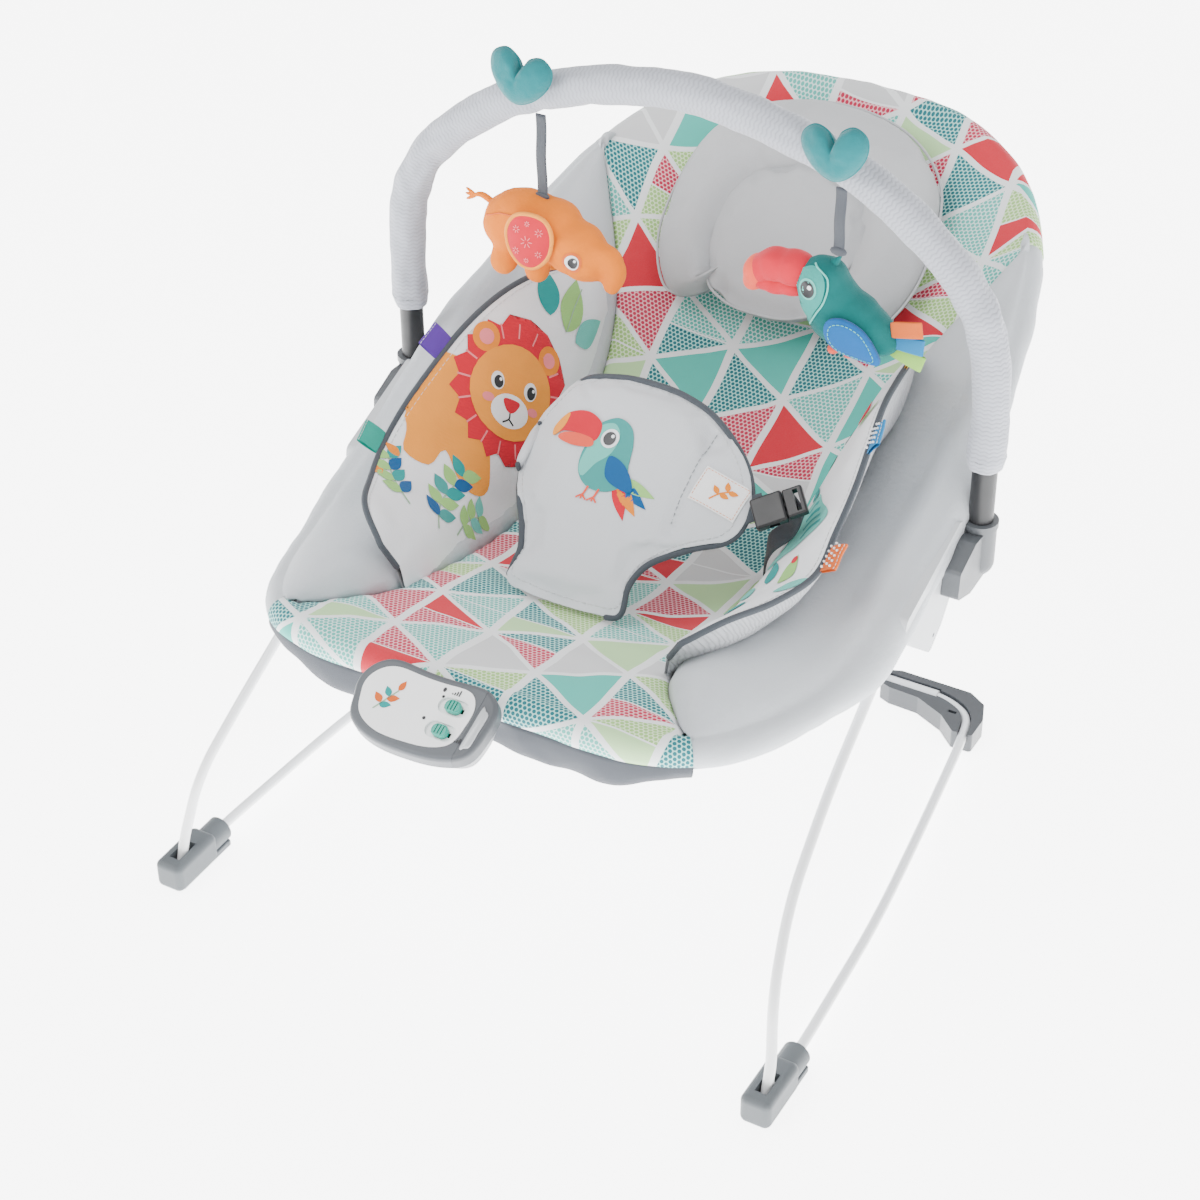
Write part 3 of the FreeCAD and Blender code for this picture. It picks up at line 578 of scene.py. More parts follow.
def plush(name, color, pile=0.0016, spread=0.07, sheen=0.35):
    """Short brushed pile."""
    s = Shader(name, color, 0.92, sheen=sheen, specular=0.2)
    fibre = s.noise(1400.0, 4.0, roughness=0.7)
    tuft = s.noise(260.0, 3.0)
    s.paint(s.mix(fibre, mottled(s, shade(color, 0.93), 24.0, spread), shade(color, 1.07)))
    height = s.math("ADD", s.math("MULTIPLY", fibre, 0.6), s.math("MULTIPLY", tuft, 0.8))
    s.bump(height, pile, 0.45)
    return s.material


def cloth(name, color, spread=0.05, sheen=0.12, pitch=0.0009):
    """Smooth printed jersey or microfibre."""
    s = Shader(name, color, 0.82, sheen=sheen, specular=0.25)
    fibre = s.noise(900.0, 3.0)
    s.paint(s.mix(fibre, mottled(s, shade(color, 0.97), 18.0, spread), shade(color, 1.03)))
    soft = s.noise(45.0, 3.0)
    under = s.bump(soft, 0.0016, 0.35)
    s.bump(knit_height(s, pitch), 0.00012, 0.5, under)
    return s.material


def plastic(name, color, roughness=0.4, grain=0.35, coat=0.0, specular=0.45):
    """Moulded plastic with spark-eroded grain and a little uneven gloss."""
    s = Shader(name, color, roughness, coat=coat, specular=specular)
    s.paint(mottled(s, color, 60.0, 0.03))
    tone = s.noise(90.0, 4.0)
    rough = s.math("MULTIPLY_ADD", tone, 0.16, roughness - 0.08)
    s.plug(s.surface.inputs["Roughness"], rough)
    s.bump(s.noise(2600.0, 2.0), 0.00006, grain)
    return s.material


def coated_metal(name, color, roughness=0.25, metallic=0.0):
    """Powder coat with faint orange peel."""
    s = Shader(name, color, roughness, metallic=metallic, coat=0.5, specular=0.5)
    s.paint(mottled(s, color, 40.0, 0.02))
    s.bump(s.noise(700.0, 2.0), 0.00008, 0.25)
    return s.material


def webbing(name, color):
    """Narrow ribbed tape."""
    s = Shader(name, color, 0.75, sheen=0.1, specular=0.3)
    spot = s.scaled(s.place(), TAU / 0.0011)
    x, y, z = s.split(spot)
    rib = s.math("SINE", s.math("ADD", s.math("ADD", x, y), z))
    s.paint(s.mix(s.math("MULTIPLY_ADD", rib, 0.5, 0.5), shade(color, 0.86), shade(color, 1.12)))
    s.bump(rib, 0.0002, 0.6)
    return s.material


WHITE_PRINT = (.80, .82, .83)
GREY = (.53, .56, .59)
AQUA = (.06, .48, .40)
CORAL = (.58, .010, .028)
ORANGE = (.74, .18, .006)
LEAF = (.28, .54, .16)


def triangle_print(name):
    """Field of triangles between white lines, some plain and some dotted."""
    s = Shader(name, WHITE_PRINT, 0.82, sheen=0.1, specular=0.25)
    width, height = 0.058, 0.066          # column width and triangle side
    line, thin = 0.0027, 0.0007           # half widths of the white lines
    flat = s.node("ShaderNodeUVMap").outputs[0]
    drift = s.node("ShaderNodeTexNoise")
    s.plug(drift.inputs["Vector"], flat)
    s.plug(drift.inputs["Scale"], 9.0)
    s.plug(drift.inputs["Detail"], 1.0)
    bent = s.vector("ADD", flat, s.scaled(
        s.vector("SUBTRACT", drift.outputs["Color"], (0.5, 0.5, 0.5)), 0.016))
    u, v, _ = s.split(bent)
    a = s.math("DIVIDE", u, width)
    rise = s.math("DIVIDE", v, height)
    half = s.math("MULTIPLY", a, 0.5)
    b = s.math("ADD", rise, half)
    c = s.math("SUBTRACT", rise, half)
    gap = 1 / math.hypot(1 / (2 * width), 1 / height)

    def to_line(value, spacing):
        return s.math("MULTIPLY", s.math("PINGPONG", value, 0.5), spacing)
    near = s.math("MINIMUM", to_line(b, gap), to_line(c, gap))
    near = s.math("SUBTRACT", near, line * 0.75)
    near = s.math("MINIMUM", near, s.math("SUBTRACT", to_line(a, width), line * 1.15))
    cell = s.combine(s.math("FLOOR", a), s.math("FLOOR", b), s.math("FLOOR", c))
    whole = s.node("ShaderNodeTexWhiteNoise", noise_dimensions="3D")
    s.plug(whole.inputs["Vector"], cell)
    divided = s.math("GREATER_THAN", whole.outputs["Value"], 0.62)
    level = s.math("MULTIPLY", s.math("FLOOR", s.math("MULTIPLY", rise, 2.0)), divided)
    near_thin = s.math("SUBTRACT", to_line(s.math("MULTIPLY", rise, 2.0), height / 2), thin)
    near_thin = s.math("ADD", near_thin, s.math("SUBTRACT", 1.0, divided))
    near = s.math("MINIMUM", near, near_thin)
    part = s.vector("ADD", cell, s.combine(0.0, s.math("MULTIPLY", level, 0.37), 0.31))
    pick = s.node("ShaderNodeTexWhiteNoise", noise_dimensions="3D")
    s.plug(pick.inputs["Vector"], part)
    pick = pick.outputs["Value"]
    kinds = [(0.0, (.84, .42, .46), (.46, .012, .055)),       # dark pink dots
             (0.20, (.36, .68, .64), (.004, .135, .16)),     # teal dots
             (0.37, (.64, .80, .50), (.30, .54, .17)),      # green dots
             (0.52, (.60, .80, .77), (.09, .44, .38)),      # pale aqua dots
             (0.66, CORAL, CORAL),
             (0.76, AQUA, AQUA),
             (0.87, (.44, .68, .34), (.44, .68, .34)),
             (0.93, (.60, .61, .62), (.60, .61, .62))]
    ground = s.steps(pick, [(start, base) for start, base, dot in kinds])
    ink = s.steps(pick, [(start, dot) for start, base, dot in kinds])
    pitch = 0.0036
    tall = pitch * math.sqrt(3)
    fu, fv, _ = s.split(flat)

    def offset(place, spacing, shift):
        turn = s.math("FRACT", s.math("ADD", s.math("DIVIDE", place, spacing), shift))
        return s.math("MULTIPLY", s.math("SUBTRACT", turn, 0.5), spacing)

    def dot_distance(shift):
        x, y = offset(fu, pitch, shift), offset(fv, tall, shift)
        return s.math("SQRT", s.math("ADD", s.math("MULTIPLY", x, x), s.math("MULTIPLY", y, y)))
    dots = s.math("MINIMUM", dot_distance(0.0), dot_distance(0.5))
    dotted = s.math("LESS_THAN", dots, pitch * 0.39)
    fill = s.mix(dotted, ground, ink)
    inside = s.math("GREATER_THAN", near, 0.0)
    fibre = s.noise(900.0, 3.0)
    color = s.mix(inside, WHITE_PRINT, fill)
    s.paint(s.mix(s.math("MULTIPLY", fibre, 0.08), color, (0.35, 0.36, 0.37)))
    under = s.bump(s.noise(40.0, 3.0), 0.0018, 0.35)
    s.bump(knit_height(s), 0.00012, 0.5, under)
    return s.material


def chevron(name, color, pitch=0.0042, swing=0.0030, uv=False, pile=0.0007):
    """Plush with fine rows of zigzag. Rows run around a tube when uv is set."""
    s = Shader(name, color, 0.9, sheen=0.3, specular=0.2)
    if uv:
        around, along, _ = s.split(s.node("ShaderNodeUVMap").outputs[0])
        across = s.math("MULTIPLY", around, 14.0)
    else:
        x, y, z = s.split(s.place())
        along = s.math("ADD", y, s.math("MULTIPLY", z, 0.6))
        across = s.math("DIVIDE", s.math("ADD", x, s.math("MULTIPLY", z, 0.4)), 0.006)
    zig = s.math("MULTIPLY", s.math("PINGPONG", across, 0.5), swing)
    row = s.math("PINGPONG", s.math("DIVIDE", s.math("ADD", along, zig), pitch), 0.5)
    ridge = s.math("SMOOTH_MIN", s.math("MULTIPLY", row, 3.2), 1.0, 0.3)
    fibre = s.noise(1300.0, 4.0)
    base = s.mix(ridge, shade(color, 0.84), shade(color, 1.10))
    s.paint(s.mix(s.math("MULTIPLY", fibre, 0.35), base, shade(color, 0.9)))
    under = s.bump(s.math("ADD", ridge, s.math("MULTIPLY", fibre, 0.4)), pile, 0.8)
    s.bump(s.noise(220.0, 3.0), 0.0008, 0.3, under)
    return s.material


M = {
    "plush": plush("side_plush", GREY),
    "pillow": plush("pillow_plush", (.44, .45, .465), pile=0.0012, sheen=0.25),
    "back": cloth("seat_back_cloth", (.44, .46, .49)),
    "triangles": triangle_print("triangle_print"),
    "white": cloth("white_print_cloth", (.80, .815, .84)),
    "pad": cloth("harness_cloth", (.58, .60, .625)),
    "piping": webbing("grey_piping", (.06, .07, .083)),
    "under": cloth("under_cloth", (.06, .067, .08)),
    "chevron": chevron("bolster_back_chevron", (.42, .435, .46), pitch=0.0030, swing=0.0022),
    "sleeve": chevron("sleeve_chevron", (.36, .375, .42), pitch=0.0034, swing=0.0026, uv=True,
                      pile=0.0003),
    "thread": webbing("pale_thread", (.70, .71, .72)),
    "dark_thread": webbing("grey_thread", (.30, .32, .34)),
    "strap": webbing("toy_strap", (.07, .078, .092)),
    "heart": plush("heart_plush", (.004, .15, .165), pile=0.0022, spread=0.25, sheen=0.25),
    "orange": plush("orange_velour", ORANGE, spread=0.08, sheen=0.05),
    "orange_print": cloth("orange_print", (.76, .22, .015)),
    "light_orange": cloth("light_orange_print", (.82, .29, .03)),
    "red": cloth("red_print", CORAL),
    "coral": cloth("coral_print", (.76, .085, .045)),
    "pink": cloth("pink_print", (.80, .20, .22)),
    "teal": plush("teal_velour", (.003, .115, .11), spread=0.12, sheen=0.08),
    "teal_light": plush("light_teal_velour", (.035, .30, .26), spread=0.06, sheen=0.08),
    "teal_print": cloth("teal_print", (.004, .27, .26)),
    "teal_soft": cloth("soft_teal_print", (.04, .28, .26)),
    "aqua_print": cloth("aqua_print", (.12, .50, .43)),
    "blue_print": cloth("blue_print", (.004, .085, .25)),
    "blue": plush("blue_velour", (.004, .10, .32), spread=0.08, sheen=0.08),
    "leaf": cloth("leaf_print", LEAF),
    "stem": cloth("stem_print", (.30, .45, .30)),
    "ink": plastic("black_ink", (.012, .012, .015), 0.35),
    "eye_white": cloth("eye_white", (.82, .84, .86)),
    "purple": webbing("purple_ribbon", (.10, .03, .33)),
    "turquoise": webbing("turquoise_ribbon", (.004, .33, .25)),
    "ribbon_blue": webbing("blue_ribbon", (.006, .20, .46)),
    "ribbon_orange": webbing("orange_ribbon", (.72, .13, .012)),
    "ribbon_yellow": webbing("yellow_ribbon", (.80, .40, .008)),
    "ribbon_green": webbing("green_ribbon", (.30, .60, .10)),
    "label": cloth("white_label", (.84, .84, .84)),
    "wire": coated_metal("white_wire", (.80, .81, .82)),
    "tube": coated_metal("grey_tube", (.45, .46, .48)),
    "foot": plastic("foot_rubber", (.09, .102, .11), 0.55, 0.6),
    "clip": plastic("clip_plastic", (.055, .060, .067), 0.32),
    "hub": plastic("hub_plastic", (.55, .57, .59), 0.45),
    "socket": plastic("socket_plastic", (.085, .092, .10), 0.42),
    "bar_end": plastic("bar_end_plastic", (.014, .0145, .016), 0.42),
    "buckle": plastic("buckle_plastic", (.008, .008, .009), 0.35),
    "case": plastic("case_plastic", (.085, .094, .106), 0.42),
    "face": plastic("face_plastic", (.86, .865, .87), 0.25, 0.1, coat=0.3),
    "cap": plastic("cap_plastic", (.075, .082, .092), 0.4),
    "window": plastic("window_plastic", (.45, .47, .49), 0.12, 0.05, coat=0.6),
    "switch": plastic("switch_plastic", (.002, .30, .22), 0.28, 0.15, coat=0.2),
    "steel": coated_metal("zinc_steel", (.52, .52, .53), 0.3, 1.0),
    "battery": coated_metal("battery_sleeve", (.12, .13, .15), 0.3, 0.3),
    "board": plastic("board_lacquer", (.01, .10, .04), 0.4),
}

# Seat cover -------------------------------------------------------------------------------

ROLL = 0.0115                 # radius of the cloth around the hem tube
HUB_Y0, HUB_Y1 = 0.20, 0.36   # the cover stands out over the hubs here
PANEL_LIFT = 0.004


def outward(curve, i):
    """Horizontal direction out of the seat at a point of a rim curve, right side or whole."""
    along = curve[min(i + 1, len(curve) - 1)] - curve[max(i - 1, 0)]
    return Vector((along.y, -along.x, 0)).normalized()


def roll_radius(p):
    """The cloth stands out further where it passes over a hub and on the padded sides."""
    rising = smooth_step(HUB_Y0 - 0.06, HUB_Y0 + 0.02, p.y)
    return ROLL + 0.0065 * rising * (1 - smooth_step(HUB_Y1, HUB_Y1 + 0.09, p.y))


def seam_pull(distance, along, depth=0.0045, reach=0.014):
    """Dip beside a seam with small gathers along it."""
    fall = math.exp(-distance / reach)
    gathers = 0.0007 * math.sin(along * TAU / 0.017 + 1.7 * math.sin(along * 90)) * fall
    return -depth * fall ** 2 + gathers


def mirrored(points):
    return [Vector((-p.x, p.y, p.z)) for p in points]


def whole_front():
    """Rim from the left front corner over the middle to the right one."""
    half = [p for p in RIM_SIDE if p.y < 0.2 and (p.y <= SEAM[0][1] + 0.001 or p.x < SEAM[0][0])]
    return even_curve(mirrored(reversed(half[1:])) + half, 97)


def whole_back():
    """Rim from the left back corner to the right one."""
    half = [p for p in RIM_SIDE if p.y >= SEAM[-1][1] - 0.001]
    return even_curve(mirrored(half) + half[-2::-1], 97)


def centre_panel():
    """Patterned cloth between the seams, stretched from the front tube over the back one."""
    front = whole_front()
    back = whole_back()
    columns = len(front)
    count = 150
    seam = even_curve(SEAM_CURVE, count)
    rows = []
    for i in range(count):
        v = i / (count - 1)
        right = seam[i]
        left = Vector((-right.x, right.y, 0))
        row = []
        for j in range(columns):
            u = j / (columns - 1)
            across = left.lerp(right, u)
            along = front[j].lerp(back[j], v)
            corner = front[0].lerp(front[-1], u) * (1 - v) + back[0].lerp(back[-1], u) * v
            x = across.x + along.x - corner.x
            y = across.y + along.y - corner.y
            edge = min(u, 1 - u) * 2 * abs(right.x)
            row.append((x, y, edge))
        rows.append(row)
    points, flat = [], []
    for i, row in enumerate(rows):
        line = []
        flat.append([(x, y) for x, y, edge in row])
        for x, y, edge in row:
            z = seat_height(x, y) + PANEL_LIFT
            z += seam_pull(edge, y) if 0.05 < y < 0.54 else 0
            p = Vector((x, y, z))
            p.z += crumple(p, 0.0022, 0.045)
            line.append(p)
        points.append(line)

    def roll(curve, sign, steps, r=ROLL + 0.0015):
        """Rows around the hem tube, and where they lie when the cloth is flat."""
        rolled, spread = [], []
        for angle in (k * math.pi / 10 for k in range(steps)):
            outs = [outward(curve, j) * sign for j in range(len(curve))]
            spread.append([(p.x + out.x * angle * r, p.y + out.y * angle * r)
                           for p, out in zip(curve, outs)])
            line = [p + out * (math.sin(angle) * r) + Vector((0, 0, math.cos(angle) * r))
                    for p, out in zip(curve, outs)]
            for q in line:
                q.z += crumple(q, 0.0012, 0.03)
            rolled.append(line)
        return rolled, spread
    front_rows, front_flat = roll(front, 1, 7)
    back_rows, back_flat = roll(back, -1, 10)
    points = front_rows[::-1] + points[2:-2] + back_rows
    flat = front_flat[::-1] + flat[2:-2] + back_flat
    step = 0.01
    lengths = [(0.0, 0.0)]
    for k in range(1, 72):
        rise = seat_height(0.06, min(k * step, 0.64)) - seat_height(0.06, min((k - 1) * step, 0.64))
        lengths.append((k * step, lengths[-1][1] + math.hypot(step, rise)))

    def place(i, j):
        x, y = flat[i][j]
        return x + 0.429, table_value(lengths, max(y, 0.0)) + min(y, 0.0) + 0.2
    obj = grid_piece("seat_pattern_panel", points, M["triangles"], "seat", uv=place)
    recalculate(obj)
    return thicken(obj, 0.0022)


def side_panel(side, sign):
    """Padded grey plush between the seam and the hem, rolled round the tube."""
    count = 130
    corner0, corner1 = SEAM[0][1], SEAM[-1][1]
    rim = even_curve([p for p in RIM_SIDE if corner0 - 0.004 <= p.y <= corner1 + 0.012], count)
    seam = even_curve(SEAM_CURVE, count)
    rows = []
    for i in range(count):
        r = roll_radius(rim[i])
        out = outward(rim, i)
        start = seam[i]
        top = rim[i] + Vector((0, 0, r))
        width = (Vector((top.x, top.y, 0)) - Vector((start.x, start.y, 0))).length
        row = []
        for k in range(23):
            s = k / 22
            x = lerp(start.x, top.x, s)
            y = lerp(start.y, top.y, s)
            straight = lerp(seat_height(start.x, start.y), top.z, s)
            base = lerp(seat_height(x, y) + PANEL_LIFT, straight, 0.35 * s)
            if s > 0.999:
                base = top.z
            puff = min(0.022, width * 0.28) * math.sin(math.pi * s ** 0.85) ** 0.8
            p = Vector((x, y, lerp(base, top.z, smooth_step(0.75, 1.0, s)) + puff))
            p.z += seam_pull(s * width, y) * (1 if width > 0.012 else 0.3)
            p.z += crumple(p, 0.0028, 0.05) * math.sin(math.pi * min(1, s + 0.05))
            row.append(p)
        for k in range(1, 13):
            angle = k * math.pi / 12
            q = rim[i] + out * (math.sin(angle) * r * 1.06) + Vector((0, 0, math.cos(angle) * r))
            q += out * crumple(q, 0.0016, 0.035)
            row.append(q)
        rows.append([Vector((p.x * sign, p.y, p.z)) for p in row])
    obj = grid_piece("seat_side_" + side, rows, M["plush"], "seat")
    recalculate(obj)
    return thicken(obj, 0.003)


def whole_rim(count):
    left = mirrored(reversed(RIM_SIDE[1:-1]))
    return even_curve(RIM_SIDE[::6] + left[::6], count, closed=True)


def seat_back_cloth():
    """Outer side of the sling, from under the hem tube to the keel."""
    count = 150
    rim = whole_rim(count)
    rows = []
    for i, p in enumerate(rim):
        a, b = rim[i - 1], rim[(i + 1) % count]
        out = Vector((b.y - a.y, a.x - b.x, 0)).normalized()
        r = roll_radius(p)
        spine = Vector((0, min(max(p.y, 0.12), 0.58), 0))
        start = p - out * 0.003
        row = []
        for k in range(24):
            s = k / 23
            x = lerp(start.x, spine.x, s)
            y = lerp(start.y, spine.y, s)
            under = seat_height(x, y) - 0.012
            z = lerp(p.z - r, under, smooth_step(0.0, 0.25, s))
            z = min(z, lerp(p.z - r, under, s))
            q = Vector((x, y, z))
            q.z += crumple(q, 0.0025, 0.06) * smooth_step(0, 0.2, s)
            row.append(q)
        rows.append(row)
    rows.append([v.copy() for v in rows[0]])
    obj = grid_piece("seat_outer_cloth", rows, M["back"], "seat")
    recalculate(obj)
    return thicken(obj, 0.0015)


def under_panel():
    """Dark cloth that hangs below the front hem and runs back under the seat."""
    front = whole_front()
    profile = [(-.0128, -.003), (-.0132, -.012), (-.0118, -.022), (-.0080, -.031), (.0000, -.0365),
               (.014, -.038), (.034, -.036), (.056, -.030)]
    curve = even_curve([Vector((0, y, z)) for y, z in profile], 22)
    rows = []
    for j, p in enumerate(front):
        out = outward(front, j)
        corner = smooth_step(0.105, SEAM[0][0], abs(p.x))
        line = []
        for c in curve:
            drop = c.z * (1 - 0.45 * corner)
            q = p - out * c.y * 0.96 + Vector((0, 0, drop))
            q.z += crumple(q, 0.0018, 0.035) * smooth_step(0.0, 0.02, -c.z)
            q += out * crumple(q + Vector((3, 0, 0)), 0.0020, 0.03) * smooth_step(0.008, 0.03, -c.z)
            behind_unit = 1 - smooth_step(0.040, 0.070, abs(q.x + 0.018))
            q -= out * 0.0045 * behind_unit * smooth_step(0.003, 0.012, -c.z)
            line.append(q)
        rows.append(line)
    obj = grid_piece("front_under_cloth", rows, M["under"], "seat")
    recalculate(obj)
    return thicken(obj, 0.002)


panel = centre_panel()
sides = both_sides(side_panel)
outer = seat_back_cloth()
under = under_panel()
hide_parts("seat_panel")
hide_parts("seat_cover")
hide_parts("under_panel")

# Soft parts -------------------------------------------------------------------------------

class Patch:
    """Flat local frame for drawing on cloth: x to the right, y up, seen from outside."""

    def __init__(self, origin, right, up):
        self.origin, self.right, self.up = Vector(origin), Vector(right).normalized(), Vector(up)
        self.up = (self.up - self.right * self.up.dot(self.right)).normalized()
        self.normal = self.right.cross(self.up)

    def at(self, x, y, z=0.0):
        return self.origin + self.right * x + self.up * y + self.normal * z


class Artwork:
    """Collects printed shapes for one cloth and joins them into one piece."""

    def __init__(self, name, patch, cloth_object, body, scale=1.0):
        self.name, self.patch, self.body, self.scale = name, patch, body, scale
        self.tree = tree_of(cloth_object)
        self.shapes = []

    def fill(self, outline, material, layer=0):
        outline = [(x * self.scale, y * self.scale) for x, y in outline]
        obj = decal(self.name, [outline], self.patch.at, -self.patch.normal, self.tree,
                    M[material], self.body, 0.0005 + 0.00018 * layer)
        self.shapes.append(obj)

    def line(self, points, width, material, layer=1):
        """Stroke of even width."""
        path = even_curve([Vector((x, y, 0)) for x, y in points], max(5, len(points) * 5))
        left, right = [], []
        for i, p in enumerate(path):
            along = heading(path, i)
            side = Vector((-along.y, along.x, 0)) * (width / 2)
            left.append(p + side)
            right.append(p - side)
        self.fill([(p.x, p.y) for p in left + right[::-1]], material, layer)

    def done(self):
        return join(self.name, self.shapes)


def oval(cx, cy, rx, ry, turn=0.0, count=28):
    c, s = math.cos(turn), math.sin(turn)
    return [(cx + rx * math.cos(a) * c - ry * math.sin(a) * s,
             cy + rx * math.cos(a) * s + ry * math.sin(a) * c)
            for a in (TAU * k / count for k in range(count))]


def leaf(x, y, length, width, turn, bend=0.12, count=14):
    """Leaf from its stem at (x, y), pointing along turn."""
    c, s = math.cos(turn), math.sin(turn)
    outline = []
    for k, side in [(k, 1) for k in range(count)] + [(k, -1) for k in range(count, 0, -1)]:
        t = k / count
        outline.append((length * t, side * width / 2 * math.sin(math.pi * t ** 0.8)))
    outline = [(u, v + bend * length * (u / length) ** 2) for u, v in outline]
    return [(x + u * c - v * s, y + u * s + v * c) for u, v in outline]


def smooth_outline(points, count=64):
    curve = even_curve([Vector((x, y, 0)) for x, y in points], count, closed=True)
    return [(p.x, p.y) for p in curve]


def radii_of(points, centre, count):
    """Distance from the centre to a closed outline at evenly spaced angles."""
    curve = even_curve([Vector((x, y, 0)) for x, y in points], 400, closed=True)
    polar = sorted((math.atan2(p.y - centre[1], p.x - centre[0]) % TAU,
                    math.hypot(p.x - centre[0], p.y - centre[1])) for p in curve)
    result = []
    for k in range(count):
        a = TAU * k / count
        above = next((i for i, (b, _) in enumerate(polar) if b >= a), 0)
        (b0, r0), (b1, r1) = polar[above - 1], polar[above]
        span = (b1 - b0) % TAU or 1.0
        result.append(lerp(r0, r1, ((a - b0) % TAU) / span))
    return result


def puffed(name, outline, centre, patch, top, bottom, material, body, rings=18, count=120,
           shape=None, wrinkle=0.0006, size=0.03):
    """Cushion over a star-shaped outline. top and bottom give height from (share out, x, y)."""
    radii = radii_of(outline, centre, count)
    rows = []
    shares = [math.sin(0.5 * math.pi * k / rings) for k in range(1, rings + 1)]

    def point(share, k, height, sign):
        a = TAU * k / count
        x = centre[0] + math.cos(a) * radii[k] * share
        y = centre[1] + math.sin(a) * radii[k] * share
        z = height(share, x, y)
        if shape:
            z += shape(x, y)
        p = patch.at(x, y, z)
        return p + patch.normal * (crumple(p, wrinkle, size) * sign)
    for share in shares:
        rows.append([point(share, k, top, 1) for k in range(count)])
    for share in reversed(shares[:-1]):
        rows.append([point(share, k, bottom, 0) for k in range(count)])
    verts = [p for row in rows for p in row]
    faces = grid_faces(len(rows), count, False, True)
    base = len(verts)
    z0 = shape(*centre) if shape else 0
    verts.append(patch.at(*centre, top(0, *centre) + z0))
    verts.append(patch.at(*centre, bottom(0, *centre) + z0))
    last = base - count
    for k in range(count):
        n = (k + 1) % count
        faces.append((base, n, k))
        faces.append((base + 1, last + k, last + n))
    obj = mesh_piece(name, verts, faces, material, body)
    recalculate(obj)
    return obj, radii


def rim_path(radii, centre, patch, height, share=1.0, shape=None, start=0, stop=None):
    count = len(radii)
    stop = count if stop is None else stop
    result = []
    for k in range(start, stop + 1):
        a = TAU * (k % count) / count
        r = radii[k % count] * share
        x, y = centre[0] + math.cos(a) * r, centre[1] + math.sin(a) * r
        result.append(patch.at(x, y, height + (shape(x, y) if shape else 0)))
    return result


def on_surface(tree, path, direction, lift=0.0003):
    """A path laid on cloth, with its surface just under it."""
    result = []
    for p in path:
        hit, normal = cast(tree, p, direction)
        result.append(hit + normal * lift)
    return result


def relax(obj, pressure=3.0, cap=0.006, size=0.005):
    """Lets a padded shape settle as cloth, so that its surface pulls into soft folds."""
    trial = obj.copy()
    trial.data = obj.data.copy()
    bpy.context.collection.objects.link(trial)
    trial.parent = None
    trial.matrix_world = Matrix.Identity(4)
    for key in list(trial.keys()):
        del trial[key]
    remesh = trial.modifiers.new("even", "REMESH")
    remesh.mode = "VOXEL"
    remesh.voxel_size = size
    apply_modifiers(trial)
    before = [v.co.copy() for v in trial.data.vertices]
    settings = trial.modifiers.new("cloth", "CLOTH").settings
    settings.use_pressure = True
    settings.uniform_pressure_force = pressure
    settings.shrink_min = -0.03
    settings.tension_stiffness = settings.compression_stiffness = 20
    settings.bending_stiffness = 0.4
    settings.effector_weights.gravity = 0
    scene = bpy.context.scene
    scene.frame_start, scene.frame_end = 1, 20
    for number in range(1, 21):
        scene.frame_set(number)
    graph = bpy.context.evaluated_depsgraph_get()
    settled = trial.evaluated_get(graph).to_mesh()
    moved = [settled.vertices[i].co - before[i] for i in range(len(before))]
    scene.frame_set(1)
    polygons = [tuple(p.vertices) for p in trial.data.polygons]
    surface = BVHTree.FromPolygons(before, polygons)
    for vert in obj.data.vertices:
        near = polygons[surface.find_nearest(vert.co)[2]]
        weights = [1 / ((before[i] - vert.co).length + 1e-4) for i in near]
        shift = sum((moved[i] * w for i, w in zip(near, weights)), Vector()) / sum(weights)
        if shift.length > cap:
            shift *= cap / shift.length
        vert.co += shift
    bpy.data.objects.remove(trial)
    obj.data.update()


# Side bolsters

def bolster_point(station, share, sign):
    seam = spline([Vector(a) for a, b in BOLSTER], station / (len(BOLSTER) - 1))
    edge = spline([Vector(b) for a, b in BOLSTER], station / (len(BOLSTER) - 1))
    p = seam.lerp(edge, share)
    return Vector((p.x * sign, p.y, p.z))


def bolster_normal(station, share, sign):
    """Out of the printed face, towards the child."""
    along = bolster_point(station + 0.2, share, sign) - bolster_point(station - 0.2, share, sign)
    across = bolster_point(station, 1, sign) - bolster_point(station, 0, sign)
    n = along.cross(across).normalized()
    return -n if n.x * sign > 0 else n


